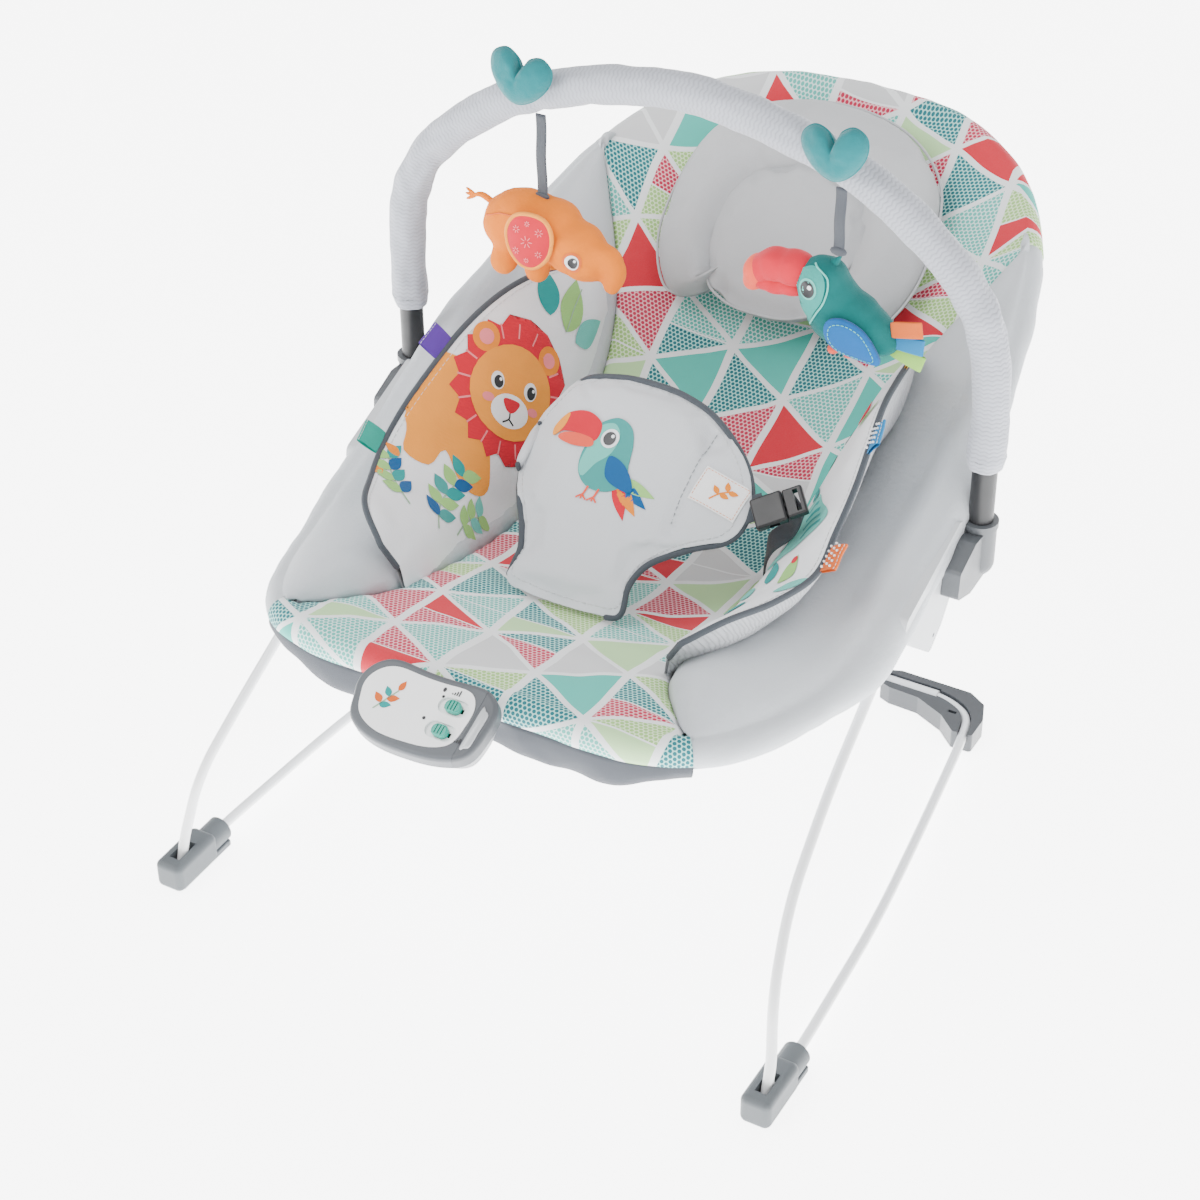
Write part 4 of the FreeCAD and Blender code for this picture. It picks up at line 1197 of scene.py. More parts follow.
def bolster(side, sign):
    stations, across = 64, 15
    last = len(BOLSTER) - 1
    front, back = [], []
    for i in range(stations):
        station = last * i / (stations - 1)
        taper = math.sin(math.pi * min(1.0, (i + 0.6) / (stations * 0.16)) / 2) \
            * math.sin(math.pi * min(1.0, (stations - i - 0.4) / (stations * 0.16)) / 2)
        n = bolster_normal(min(max(station, 0.3), last - 0.3), 0.5, sign)
        face, rear = [], []
        for k in range(across):
            s = k / (across - 1)
            p = bolster_point(station, s, sign)
            p.z -= 0.012 * (1 - smooth_step(0.0, 0.22, s))
            swell = math.sin(math.pi * s) ** 0.7 * taper
            q = p + n * (0.0055 * swell + 0.0012)
            q += n * crumple(q, 0.0016, 0.032) * min(1, swell * 2)
            face.append(q)
            b = p - n * (0.0125 * swell + 0.0012)
            b -= n * crumple(b, 0.0016, 0.03) * swell
            rear.append(b)
        front.append(face)
        back.append(rear)
    face = grid_piece("bolster_face_" + side, front, M["white"], "seat")
    rear = grid_piece("bolster_back_" + side, back, M["chevron"], "seat")
    edge = [bolster_point(0, 0.3 + k / 8, sign) for k in range(5)]
    edge += [bolster_point(last * k / 60, 1, sign) for k in range(61)]
    edge += [bolster_point(last, 1 - k / 5, sign) for k in range(1, 4)]
    sweep("bolster_piping_" + side, even_curve(edge, 130), 0.0024, M["piping"], "seat", 10)
    inner = even_curve([bolster_point(last * k / 60, 0.955, sign) for k in range(61)], 90)
    tree = tree_of(face)
    n = bolster_normal(5, 0.5, sign)
    stitches("bolster_stitch_" + side, on_surface(tree, inner, -n), M["thread"], "seat")
    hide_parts("side_bolster_" + side)
    for obj in (face, rear):
        recalculate(obj)
    return face


face_right, face_left = both_sides(bolster)


def bolster_patch(station, share, sign, lean):
    origin = bolster_point(station, share, sign)
    along = bolster_point(station + 0.5, share, sign) - bolster_point(station - 0.5, share, sign)
    across = bolster_point(station, 1, sign) - bolster_point(station, 0, sign)
    n = bolster_normal(station, share, sign)
    up = along.normalized() * math.cos(lean) + across.normalized() * math.sin(lean)
    up = (up - n * up.dot(n)).normalized()
    return Patch(origin, up.cross(n), up)


def sprig(art, x, y, turn, count, size, colors, layer=0, stem="stem"):
    """Curved stem with pairs of leaves."""
    c, s = math.cos(turn), math.sin(turn)
    line = []
    for k in range(count + 1):
        u = k * size * 0.62
        v = 0.0035 * math.sin(k * 0.8)
        line.append((x + u * c - v * s, y + u * s + v * c))
    art.line(line, 0.0011, stem, layer)
    for k, (px, py) in enumerate(line[1:]):
        for hand in (1, -1):
            art.fill(leaf(px, py, size, size * 0.58, turn + hand * 0.85, 0.1 * hand),
                     colors[(k * 2 + (hand > 0)) % len(colors)], layer + 1)


def big_cat():
    """Own drawing of a round-faced cub with a ruff, lying on the left bolster."""
    art = Artwork("print_cub", bolster_patch(6.05, 0.52, -1, 0.62), face_left, "seat", 1.55)
    body = [(-.050, -.028), (-.060, -.006), (-.052, .010), (-.030, .012), (-.012, .004),
            (-.006, -.020), (-.002, -.048), (-.012, -.054), (-.022, -.048), (-.030, -.036),
            (-.038, -.046), (-.050, -.042)]
    art.fill(smooth_outline(body), "light_orange", 0)
    spikes = 17
    ruff = []
    for k in range(spikes * 2):
        a, radius = TAU * k / spikes / 2, 0.0315 if k % 2 else 0.0365
        ruff.append((0.004 + radius * math.cos(a), 0.004 + 1.05 * radius * math.sin(a)))
    art.fill(ruff, "red", 1)
    for k in range(spikes):
        a = TAU * (k + 0.5) / spikes
        inner = 0.004 + 0.0255 * math.cos(a), 0.004 + 0.0265 * math.sin(a)
        outer = 0.004 + 0.0325 * math.cos(a), 0.004 + 0.0340 * math.sin(a)
        middle = (inner[0] + outer[0]) / 2, (inner[1] + outer[1]) / 2
        art.line([inner, middle, outer], 0.0010, "pink", 2)
    for x in (-.017, .024):
        art.fill(oval(x, .026, .0075, .0075), "orange_print", 2)
        art.fill(oval(x, .026, .0040, .0040), "pink", 3)
    art.fill(oval(.004, .003, .0255, .0240), "light_orange", 3)
    art.fill(oval(.004, -.0065, .0120, .0085), "label", 4)
    nose = [(-.001, -.001), (.009, -.001), (.0075, -.0055), (.004, -.0075), (.0005, -.0055)]
    art.fill(smooth_outline(nose, 24), "red", 5)
    art.line([(.004, -.0075), (.004, -.0105), (.0005, -.0130)], 0.0009, "ink", 5)
    art.line([(.004, -.0105), (.0075, -.0130)], 0.0009, "ink", 5)
    for x in (-.0065, .0145):
        art.fill(oval(x, .0065, .0042, .0047), "eye_white", 4)
        art.fill(oval(x + .0006, .0060, .0029, .0033), "ink", 5)
        art.fill(oval(x + .0016, .0074, .0009, .0009), "eye_white", 6)
        art.fill(oval(x - .004 if x < 0 else x + .004, -.003, .0034, .0022), "pink", 4)
    art.done()
    low = Artwork("print_sprigs_left", bolster_patch(3.15, 0.52, -1, 0.62), face_left, "seat", 1.35)
    sprig(low, -.016, -.022, 1.9, 4, .0125, ["blue_print", "leaf", "teal_print", "leaf"])
    sprig(low, .004, -.030, 1.25, 5, .0135, ["teal_soft", "blue_print", "leaf", "leaf", "teal_print"])
    sprig(low, .020, -.026, 0.75, 3, .0120, ["leaf", "leaf", "aqua_print"])
    for x, y, turn in ((-.030, -.006, 2.6), (-.020, .010, 2.2), (.030, -.030, 0.1), (.024, -.040, -0.4)):
        low.fill(leaf(x, y, .011, .006, turn), "orange_print", 1)
    low.done()
    high = Artwork("print_leaves_left", bolster_patch(8.6, 0.60, -1, 0.62), face_left, "seat", 1.35)
    high.fill(leaf(-.014, -.012, .030, .017, 1.9), "teal_print", 0)
    high.fill(leaf(.000, -.016, .034, .019, 1.45), "leaf", 1)
    high.fill(leaf(.010, -.018, .028, .016, 0.8), "aqua_print", 2)
    high.line([(.000, -.016), (.002, .0), (.005, .014)], 0.0008, "stem", 3)
    high.done()


def striped_pal():
    """Own drawing of a blue foal and leaves on the right bolster."""
    art = Artwork("print_foal", bolster_patch(5.3, 0.44, 1, -0.35), face_right, "seat", 1.15)
    neck = [(-.020, -.034), (-.024, -.012), (-.020, .006), (-.010, .018), (.006, .020), (.018, .012),
            (.024, -.004), (.030, -.030)]
    art.fill(smooth_outline(neck), "aqua_print", 0)
    for k in range(4):
        y = -.026 + k * .0085
        art.line([(.006 + k * .001, y), (.016, y + .002), (.026 - k * .002, y)], 0.0032, "teal_print", 1)
    muzzle = [(-.030, -.016), (-.034, -.004), (-.026, .006), (-.014, .004), (-.010, -.006),
              (-.016, -.016)]
    art.fill(smooth_outline(muzzle, 32), "eye_white", 2)
    art.fill(oval(-.008, .004, .0042, .0048), "eye_white", 3)
    art.fill(oval(-.0085, .0036, .0029, .0034), "ink", 4)
    art.fill(oval(-.0075, .0050, .0008, .0008), "eye_white", 5)
    art.fill(leaf(-.006, .016, .017, .009, 1.9), "teal_print", 2)
    art.fill(leaf(.006, .018, .017, .009, 1.4), "teal_print", 2)
    art.done()
    low = Artwork("print_leaves_right", bolster_patch(3.2, 0.45, 1, -0.35), face_right, "seat", 1.2)
    for x, y, turn, color in ((-.022, -.010, 2.4, "blue_print"), (-.010, .000, 1.9, "aqua_print"),
                              (.004, .002, 1.3, "teal_print"), (.014, -.008, 0.7, "leaf"),
                              (-.004, -.020, 2.8, "teal_print"), (.016, -.024, 0.1, "aqua_print")):
        low.fill(leaf(x, y, .022, .012, turn), color, 1)
    for x, y in ((-.026, .012), (-.020, .017), (.026, .006)):
        low.fill(oval(x, y, .0026, .0026), "red", 2)
    low.done()
    high = Artwork("print_leaves_top_right", bolster_patch(7.7, 0.5, 1, -0.35), face_right, "seat", 1.3)
    for x, y, turn, color in ((-.016, -.014, 2.3, "aqua_print"), (-.006, -.006, 1.7, "teal_print"),
                              (.008, -.008, 1.1, "red"), (.012, -.020, 0.4, "leaf")):
        high.fill(leaf(x, y, .021, .011, turn), color, 1)
    high.done()


big_cat()
striped_pal()

# Folded ribbon tags on the bolsters' edges: side, station, part of the way, colour
TAGS = [(-1, 5, 0.35, "purple"), (-1, 2, 0.9, "turquoise"), (1, 6, 0.0, "ribbon_blue"),
        (1, 3, 0.4, "ribbon_orange"), (1, 8, 0.6, "ribbon_yellow")]


def edge_frame(place, sign):
    """A point of a bolster's free edge with the directions along it, off its face and outward."""
    root = bolster_point(place, 1.0, sign)
    ahead, behind = bolster_point(place + 0.3, 1.0, sign), bolster_point(place - 0.3, 1.0, sign)
    along = (ahead - behind).normalized()
    n = bolster_normal(place, 0.9, sign)
    out = n.cross(along).normalized()
    return root, along, n, out if out.x * sign >= 0 else -out


def ribbon_tag(sign, station, part_way, color):
    root, along, n, out = edge_frame(station + part_way, sign)
    rows = []
    for k in range(19):
        t = k / 18
        reach = 0.019 * (1 - abs(2 * t - 1) ** 2.2)
        lift = 0.0022 * math.cos(math.pi * t) * (0.3 + 0.9 * math.sin(math.pi * t))
        row = []
        for j in range(9):
            across = (j / 8 - 0.5) * 0.0215
            p = root + out * (reach + 0.0008) + n * lift + along * across
            p += n * crumple(p, 0.0009, 0.014) * math.sin(math.pi * min(1, reach / 0.012) / 2)
            row.append(p)
        rows.append(row)
    obj = grid_piece("tag_" + color, rows, M[color], "seat")
    thicken(obj, 0.0005, 0.0, 1)
    hem = [p + n * 0.0008 for p in rows[7]]
    stitches("tag_stitch_" + color, hem, M["thread"], "seat", 0.0018, 0.0010, 0.00022)
    return obj


for index, tag in enumerate(TAGS):
    made = ribbon_tag(*tag)
    if index == 0:
        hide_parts("ribbon_tags")


def scrap_print(sign, station, part_way, material):
    """Dots on a tag, as small raised ink."""
    root, along, n, out = edge_frame(station + part_way, sign)
    shapes = []
    for row in range(3):
        for k in range(5):
            p = root + out * (0.006 + row * 0.0045) + along * ((k - 2 + 0.5 * (row % 2)) * 0.0042)
            p += n * (0.0034 - row * 0.0003)
            shapes.append(ball("dot", p, (0.0011, 0.0011, 0.0011), M[material], "seat", None, 1))
    return join("tag_dots_" + material + str(station), shapes)


scrap_print(1, 6, 0.0, "label")
scrap_print(1, 3, 0.4, "label")
scrap_print(1, 8, 0.6, "ribbon_orange")

# Head pillow
BACK_PATCH = Patch((0, .535, .385), (1, 0, 0), (0, .77, .64))
PILLOW_SIDE = [(.059, .090), (.100, .054), (.112, 0), (.108, -.046), (.086, -.082), (.060, -.080),
               (.040, -.062)]
INNER_SIDE = [(.044, .030), (.062, -.010), (.052, -.066), (.030, -.084)]


def symmetric(top, side, bottom):
    """Closed outline from its right half."""
    return [(0, top)] + side + [(0, bottom)] + [(-x, y) for x, y in reversed(side)]


PILLOW = symmetric(.102, PILLOW_SIDE, -.056)
PILLOW_INNER = symmetric(.044, INNER_SIDE, -.088)


def head_pillow():
    count = 120
    inner = radii_of(PILLOW_INNER, (0, 0), count)
    outer = radii_of(PILLOW, (0, 0), count)

    def top(_, x, y):
        a = math.atan2(y, x) % TAU
        k = int(round(a / TAU * count)) % count
        r = math.hypot(x, y)
        start = min(inner[k] * 0.97, outer[k] * 0.9)
        t = (r - start) / (outer[k] - start)
        if t < 0:
            return 0.002
        if t < 0.35:
            return 0.003 + 0.013 * math.sin(math.pi * 0.5 * t / 0.35) ** 0.8
        return -0.006 + 0.022 * max(0.0, 1 - ((t - 0.35) / 0.65) ** 3) ** 0.6

    def bottom(share, *_):
        return -0.004 - 0.014 * math.sqrt(max(0.0, 1 - share ** 4))
    ring, radii = puffed("head_pillow_ring", PILLOW, (0, 0), BACK_PATCH, top, bottom, M["pillow"],
                         "seat", 26, count, None, 0.0013, 0.035)
    seam = rim_path(radii, (0, 0), BACK_PATCH, -0.004, 1.002)
    sweep("head_pillow_piping", even_curve(seam[:-1], 160, True) + [seam[0]], 0.0011, M["pillow"],
          "seat", 8, rounded=False)

    def dome(share, *_):
        return 0.0065 + 0.0065 * (1 - share ** 2.6) ** 0.8

    def under_dome(share, *_):
        return -0.007 if share < 0.985 else 0.001
    oval_pad, oval_radii = puffed("head_pillow_middle", PILLOW_INNER, (0, -.015), BACK_PATCH, dome,
                                  under_dome, M["pillow"], "seat", 20, count, None, 0.0010, 0.03)
    line = rim_path(oval_radii, (0, -.015), BACK_PATCH, 0.0067, 1.0)
    sweep("pillow_middle_piping", even_curve(line[:-1], 160, True) + [line[0]], 0.0011, M["pillow"],
          "seat", 8, rounded=False)
    for obj, node in ((ring, "head_pillow"), (oval_pad, "head_pillow_inner")):
        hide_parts(node)
        relax(obj, 3.0, 0.004)


head_pillow()

# Harness pad
PAD_PATCH = Patch((0, .160, .246), (1, 0, 0), (0, .8, .6))
PAD_RIGHT = [(.026, 0), (.046, .005), (.045, .028), (.053, .048), (.076, .068), (.098, .082),
             (.105, .098), (.102, .120), (.086, .144), (.056, .166), (.028, .175)]
PAD_LEFT = [(-.028, .175), (-.056, .166), (-.075, .141), (-.080, .120), (-.080, .098),
            (-.074, .080), (-.064, .064), (-.054, .048), (-.046, .028), (-.046, .005), (-.026, 0)]
PAD = [(0, -.001)] + PAD_RIGHT + [(0, .177)] + PAD_LEFT
PAD_CENTRE = (0, .102)


def pad_crown(x, y):
    """The pad bulges over the child's lap and its arms bend down."""
    arm = smooth_step(0.045, 0.105, x)
    turned = smooth_step(0.048, 0.084, -x) * smooth_step(.055, .085, y)
    bulge = 0.0045 * math.cos(min(1.0, abs(x) / 0.06) * math.pi / 2)
    return bulge - 0.007 * arm - 0.012 * turned - 0.004 * (1 - smooth_step(.0, .020, y))


def pad_top(share, x, y):
    crease = math.exp(-((x - 0.058) / 0.0035) ** 2) if 0.070 < y < 0.158 else 0
    return 0.0045 + 0.0052 * (1 - share ** 3.5) ** 0.7 - 0.0022 * crease


def pad_bottom(share, *_):
    return 0.0045 - 0.0045 * (1 - share ** 3.5) ** 0.7


pad, pad_radii = puffed("harness_pad", PAD, PAD_CENTRE, PAD_PATCH, pad_top, pad_bottom, M["pad"],
                        "seat", 26, 160, pad_crown, 0.0012, 0.034)
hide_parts("harness_pad")
relax(pad, 2.0, 0.003)
pad_edge = rim_path(pad_radii, PAD_CENTRE, PAD_PATCH, 0.0045, 1.0, pad_crown, -31, 108)
sweep("harness_piping", even_curve(pad_edge, 220), 0.0024, M["piping"], "seat", 10)
pad_tree = tree_of(pad)


def pad_line(points):
    path = even_curve([PAD_PATCH.at(x, y, 0.02) for x, y in points], 60)
    return on_surface(pad_tree, path, -PAD_PATCH.normal)


stitches("harness_arm_stitch", pad_line([(.0600, .155), (.0580, .130), (.0565, .100), (.0570, .078)]),
         M["dark_thread"], "seat")
inside_edge = rim_path(pad_radii, PAD_CENTRE, PAD_PATCH, 0.02, 0.945)
stitches("harness_edge_stitch", on_surface(pad_tree, inside_edge, -PAD_PATCH.normal), M["thread"],
         "seat")


def pad_bird():
    """Own drawing of a plump big-beaked bird."""
    patch = Patch(PAD_PATCH.at(-.007, .108), (1, 0, 0), (0, .8, .6))
    art = Artwork("print_bird", patch, pad, "seat")
    for turn, color in ((-0.20, "leaf"), (-0.50, "blue_print"), (-0.78, "orange_print"), (-1.05, "red")):
        art.fill(leaf(.014, -.010, .034, .010, turn, 0.02), color, 0)
    for color, layer, count, outline in (
            ("teal_soft", 1, 64, [(-.018, .014), (-.016, .026), (-.004, .034), (.009, .030), (.016, .018),
                                  (.019, .002), (.022, -.012), (.012, -.022), (-.004, -.023),
                                  (-.016, -.014), (-.020, 0)]),
            ("aqua_print", 2, 48, [(-.017, .010), (-.015, .024), (-.004, .029), (.004, .020),
                                   (.002, .006), (-.006, -.004), (-.012, -.016), (-.018, -.008)]),
            ("blue_print", 3, 40, [(.002, .004), (.014, .002), (.025, -.008), (.029, -.018),
                                   (.016, -.017), (.005, -.011)]),
            ("red", 3, 48, [(-.014, .012), (-.014, .026), (-.028, .033), (-.043, .029), (-.051, .017),
                            (-.049, .009), (-.042, .014), (-.030, .015)]),
            ("coral", 4, 36, [(-.015, .007), (-.016, .013), (-.030, .015), (-.041, .013),
                              (-.044, .008), (-.030, .005)]),
            ("light_orange", 4, 24, [(-.043, .029), (-.051, .017), (-.049, .009), (-.044, .014),
                                     (-.042, .022)])):
        art.fill(smooth_outline(outline, count), color, layer)
    art.fill(oval(-.003, .017, .0072, .0076), "eye_white", 4)
    art.fill(oval(-.0032, .0168, .0050, .0054), "ink", 5)
    art.fill(oval(-.0012, .0190, .0014, .0014), "eye_white", 6)
    for x in (-.004, .005):
        art.line([(x, -.022), (x - .001, -.027), (x - .002, -.030)], 0.0016, "coral", 2)
        for dx in (-.004, 0, .004):
            toe = [(x - .002, -.029), (x - .002 + dx * .6, -.031), (x - .002 + dx, -.0325)]
            art.line(toe, 0.0013, "coral", 2)
    art.done()


pad_bird()


def sewn_label():
    """Plain label with a small sprig and a stitched edge."""
    tilt = -.16
    right = (math.cos(tilt), math.sin(tilt) * .8, math.sin(tilt) * .6)
    patch = Patch(PAD_PATCH.at(.082, .112), right, (0, .8, .6))
    art = Artwork("harness_label", patch, pad, "seat", 1.2)
    art.fill([(-.0155, -.0115), (.0155, -.0115), (.0155, .0115), (-.0155, .0115)], "label", 2)
    art.line([(-.004, -.006), (.000, .000), (.006, .005)], 0.0010, "orange_print", 4)
    for x, y, turn in ((-.001, -.001, 2.3), (.000, .000, -.2), (.003, .003, 1.9), (.004, .003, .1)):
        art.fill(leaf(x, y, .0062, .0034, turn), "orange_print", 5)
    art.done()
    edge = [(-.0172, -.0124), (.0172, -.0124), (.0172, .0124), (-.0172, .0124), (-.0172, -.0124)]
    points = []
    for (x0, y0), (x1, y1) in zip(edge, edge[1:]):
        points += [patch.at(lerp(x0, x1, k / 12), lerp(y0, y1, k / 12), .01) for k in range(12)]
    path = [p + patch.normal * .0007 for p in on_surface(pad_tree, points, -patch.normal)]
    stitches("label_stitch", path, M["orange_print"], "seat", 0.0018, 0.0009, 0.00022)


sewn_label()


STRAP_FOOT = Vector((.098, .290, .227))
ARM_ROOT = PAD_PATCH.at(-.0765, .108, .0045)
DROP_AXIS = (mirrored([STRAP_FOOT])[0] - ARM_ROOT).normalized()
DROP_NORMAL = (Vector((1, 0, 0)) - DROP_AXIS * DROP_AXIS.x).normalized()


def pad_arm_right():
    """Webbing that leaves the pad's arm and holds the buckle's socket."""
    start = PAD_PATCH.at(.098, .104, -.001)
    end = start + Vector((.8, .48, .36)).normalized() * .020
    path = even_curve([start, start.lerp(end, .5) + PAD_PATCH.normal * .0012, end], 12)
    tape("harness_webbing_right", path, 0.020, 0.0016, M["piping"], "seat", PAD_PATCH.normal)


def pad_arm_left():
    """The left arm turns down behind the pad and ends at its buckle."""
    across = DROP_AXIS.cross(DROP_NORMAL)
    rows = []
    for i in range(15):
        t = i / 14
        width = lerp(0.037, 0.024, smooth_step(0.2, 1.0, t))
        centre = ARM_ROOT + DROP_AXIS * (0.027 * t) - PAD_PATCH.normal * 0.002
        row = []
        for j in range(28):
            a = TAU * j / 28
            c, d = math.cos(a), math.sin(a)
            edge = abs(c) ** 0.6 * math.copysign(1, c)
            row.append(centre + across * (edge * width / 2) + DROP_NORMAL * (d * 0.0034))
        rows.append(row)
    recalculate(closed_skin("harness_arm_left", rows, M["pad"], "seat"))
    for side, column in (("back", 0), ("front", 14)):
        sweep("harness_arm_piping_" + side, [row[column] for row in rows], 0.0020, M["piping"],
              "seat", 8)


def tape(name, path, width, thickness, material, body, up):
    """Flat webbing along a path."""
    rows = []
    for i, p in enumerate(path):
        along = heading(path, i)
        side = along.cross(up).normalized()
        face = side.cross(along).normalized()
        w, h = width / 2, thickness / 2
        rows.append([p + side * (w * a) + face * (h * b) for a, b in
                     ((-1, -.6), (-.97, -1), (-.5, -1), (0, -1), (.5, -1), (.97, -1), (1, -.6),
                      (1, .6), (.97, 1), (.5, 1), (0, 1), (-.5, 1), (-.97, 1), (-1, .6))])
    obj = closed_skin(name, rows, material, body)
    recalculate(obj)
    return obj


pad_arm_right()
pad_arm_left()


def waist_webbing(side, curve, up):
    """Webbing from the plug to the seam, kept out of every body."""
    obj = tape("waist_webbing_" + side, curve, 0.0155, 0.0017, M["strap"], "seat", up)
    obj.parent = None
    del obj["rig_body"]
    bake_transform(obj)
    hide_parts("waist_strap_" + side)


axis = Vector((.8, .48, .36)).normalized()
top = PAD_PATCH.at(.1115, .104, .0045) + axis * .0338 - PAD_PATCH.normal * .0032
foot = STRAP_FOOT + Vector((0, 0, .004))
middle = top.lerp(foot, .5) - Vector((.004, .010, .002))
sag = top.lerp(middle, .5) + Vector((.003, .002, -.004))
waist_webbing("right", even_curve([top, sag, middle, foot], 40), PAD_PATCH.normal)
top = ARM_ROOT + DROP_AXIS * .0605
foot = mirrored([STRAP_FOOT])[0]
sag = top.lerp(foot, .5) + DROP_NORMAL * .0015
waist_webbing("left", even_curve([top, sag, foot], 30), DROP_NORMAL)

# Toy bar cover, hearts and toys
ARCH = [(.243, .337), (.243, .392), (.236, .440), (.219, .473), (.191, .501), (.150, .531),
        (.100, .552), (.050, .565), (0, .571)]
BAR_Y = .345
TOY_X = .1205


def toy_bar_cover():
    right = [Vector((x, BAR_Y, z)) for x, z in ARCH]
    path = even_curve(right + mirrored(reversed(right[:-1])), 420)
    frames = frames_along(path)

    def radius(t, a):
        place = t * 0.98
        p = path[min(len(path) - 1, int(t * (len(path) - 1)))]
        end = min(t, 1 - t)
        hem = 1 - 0.10 * math.exp(-end / 0.004) + 0.03 * math.exp(-((end - 0.012) / 0.004) ** 2)
        bend = math.exp(-((min(t, 1 - t) - 0.17) / 0.07) ** 2)
        spot = Vector((place * 26, math.cos(a) * 1.2, math.sin(a) * 1.2))
        folds = 0.0013 * noise.noise(spot) + 0.0007 * noise.noise(spot * 2.3)
        stray = 5 * noise.noise(Vector((place * 14, math.cos(a), math.sin(a))))
        rings = 0.0006 * bend * math.sin(place * 130 + stray)
        pinch = sum(math.exp(-((p.x - x) / 0.006) ** 2) for x in (-TOY_X, TOY_X))
        return 0.0140 * hem + folds + rings - 0.0012 * pinch
    obj = sweep("toy_bar_cover", path, radius, M["sleeve"], "toy_bar", 40, uv=True, rounded=False)
    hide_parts("toy_bar_sleeve")
    for label, index in (("right", 5), ("left", len(path) - 6)):
        _, side, normal = frames[index]
        turns = [TAU * k / 40 for k in range(41)]
        ring = [path[index] + (side * math.cos(a) + normal * math.sin(a)) * 0.0143 for a in turns]
        stitches("cover_stitch_" + label, ring, M["dark_thread"], "toy_bar", 0.0022, 0.0013, 0.0003)


toy_bar_cover()


def heart(side, sign):
    outline = symmetric(-.0195, [(.0140, -.0130), (.0235, .000), (.0240, .0120), (.0150, .0185),
                                 (.0055, .0150)], .0065)
    patch = Patch((.124 * sign, .3235, .563), (1, 0, .12 * sign), (.0, .16, 1))

    def top(share, x, y):
        cleft = 0.0030 * math.exp(-(x / 0.0028) ** 2) * smooth_step(-.012, .010, y)
        return 0.0105 * (1 - share ** 2.4) ** 0.6 - cleft

    def bottom(share, *_):
        return -0.0075 * (1 - share ** 2.4) ** 0.6
    obj, radii = puffed("heart_plush_" + side, outline, (0, 0), patch, top, bottom, M["heart"],
                        "toy_bar", 16, 96, None, 0.0010, 0.010)
    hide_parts("heart_" + side)
    edge = rim_path(radii, (0, 0), patch, 0.0, 1.0)
    sweep("heart_seam_" + side, even_curve(edge[:-1], 90, True) + [edge[0]], 0.0007, M["heart"],
          "toy_bar", 6, rounded=False)


both_sides(heart)

STRAP_TOP = .5262
STRAP_END = {"left": .461, "right": .478}


def toy_strap(side, sign):
    path = [Vector((TOY_X * sign, BAR_Y + 0.0007 * math.sin(k * 0.45),
                    lerp(STRAP_TOP, STRAP_END[side], k / 20))) for k in range(21)]
    obj = tape("toy_webbing_" + side, path, 0.0082, 0.0016, M["strap"], "strap_" + side,
               Vector((0, 1, 0)))
    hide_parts("strap_" + side)


both_sides(toy_strap)


def blob(name, parts, material, body, voxel=0.0022, rounds=6):
    """Stuffed shape: overlapping egg shapes melted into one skin. A part is (centre, radii)."""
    eggs = [ball(name, centre, radii, None, body) for centre, radii in parts]
    obj = join(name, eggs)
    remesh = obj.modifiers.new("skin", "REMESH")
    remesh.mode = "VOXEL"
    remesh.voxel_size = voxel
    soften = obj.modifiers.new("soften", "SMOOTH")
    soften.factor = 0.7
    soften.iterations = rounds
    apply_modifiers(obj)
    for vert in obj.data.vertices:
        vert.co += vert.normal * crumple(vert.co, 0.0006, 0.012)
    obj.data.materials.clear()
    obj.data.materials.append(material)
    for polygon in obj.data.polygons:
        polygon.use_smooth = True
    return obj


def chain(points, radii, steps=5):
    """Egg shapes along a path, for a trunk or a tail."""
    curve = even_curve(vectors(points), steps * (len(points) - 1) + 1)
    result = []
    for i, p in enumerate(curve):
        r = lerp(radii[0], radii[1], i / (len(curve) - 1))
        result.append((p, (r, r, r)))
    return result


def seam_over(name, patch, points, cloth_object, material, body, width=0.0005):
    tree = tree_of(cloth_object)
    path = on_surface(tree, even_curve([patch.at(x, y, .05) for x, y in points], 50), -patch.normal)
    sweep(name, path, width, material, body, 6)


def ribbon_loop(name, root, direction, width_axis, length, width, material, body):
    """Folded satin loop."""
    face = direction.cross(width_axis).normalized()
    rows = []
    for k in range(15):
        t = k / 14
        reach = length * (1 - abs(2 * t - 1) ** 2.2)
        lift = 0.0018 * math.cos(math.pi * t) * (0.4 + 0.8 * math.sin(math.pi * t))
        rows.append([root + direction * reach + face * lift + width_axis * ((j / 6 - 0.5) * width)
                     for j in range(7)])
    obj = grid_piece(name, rows, M[material], body)
    return thicken(obj, 0.0007, 0.0, 1)


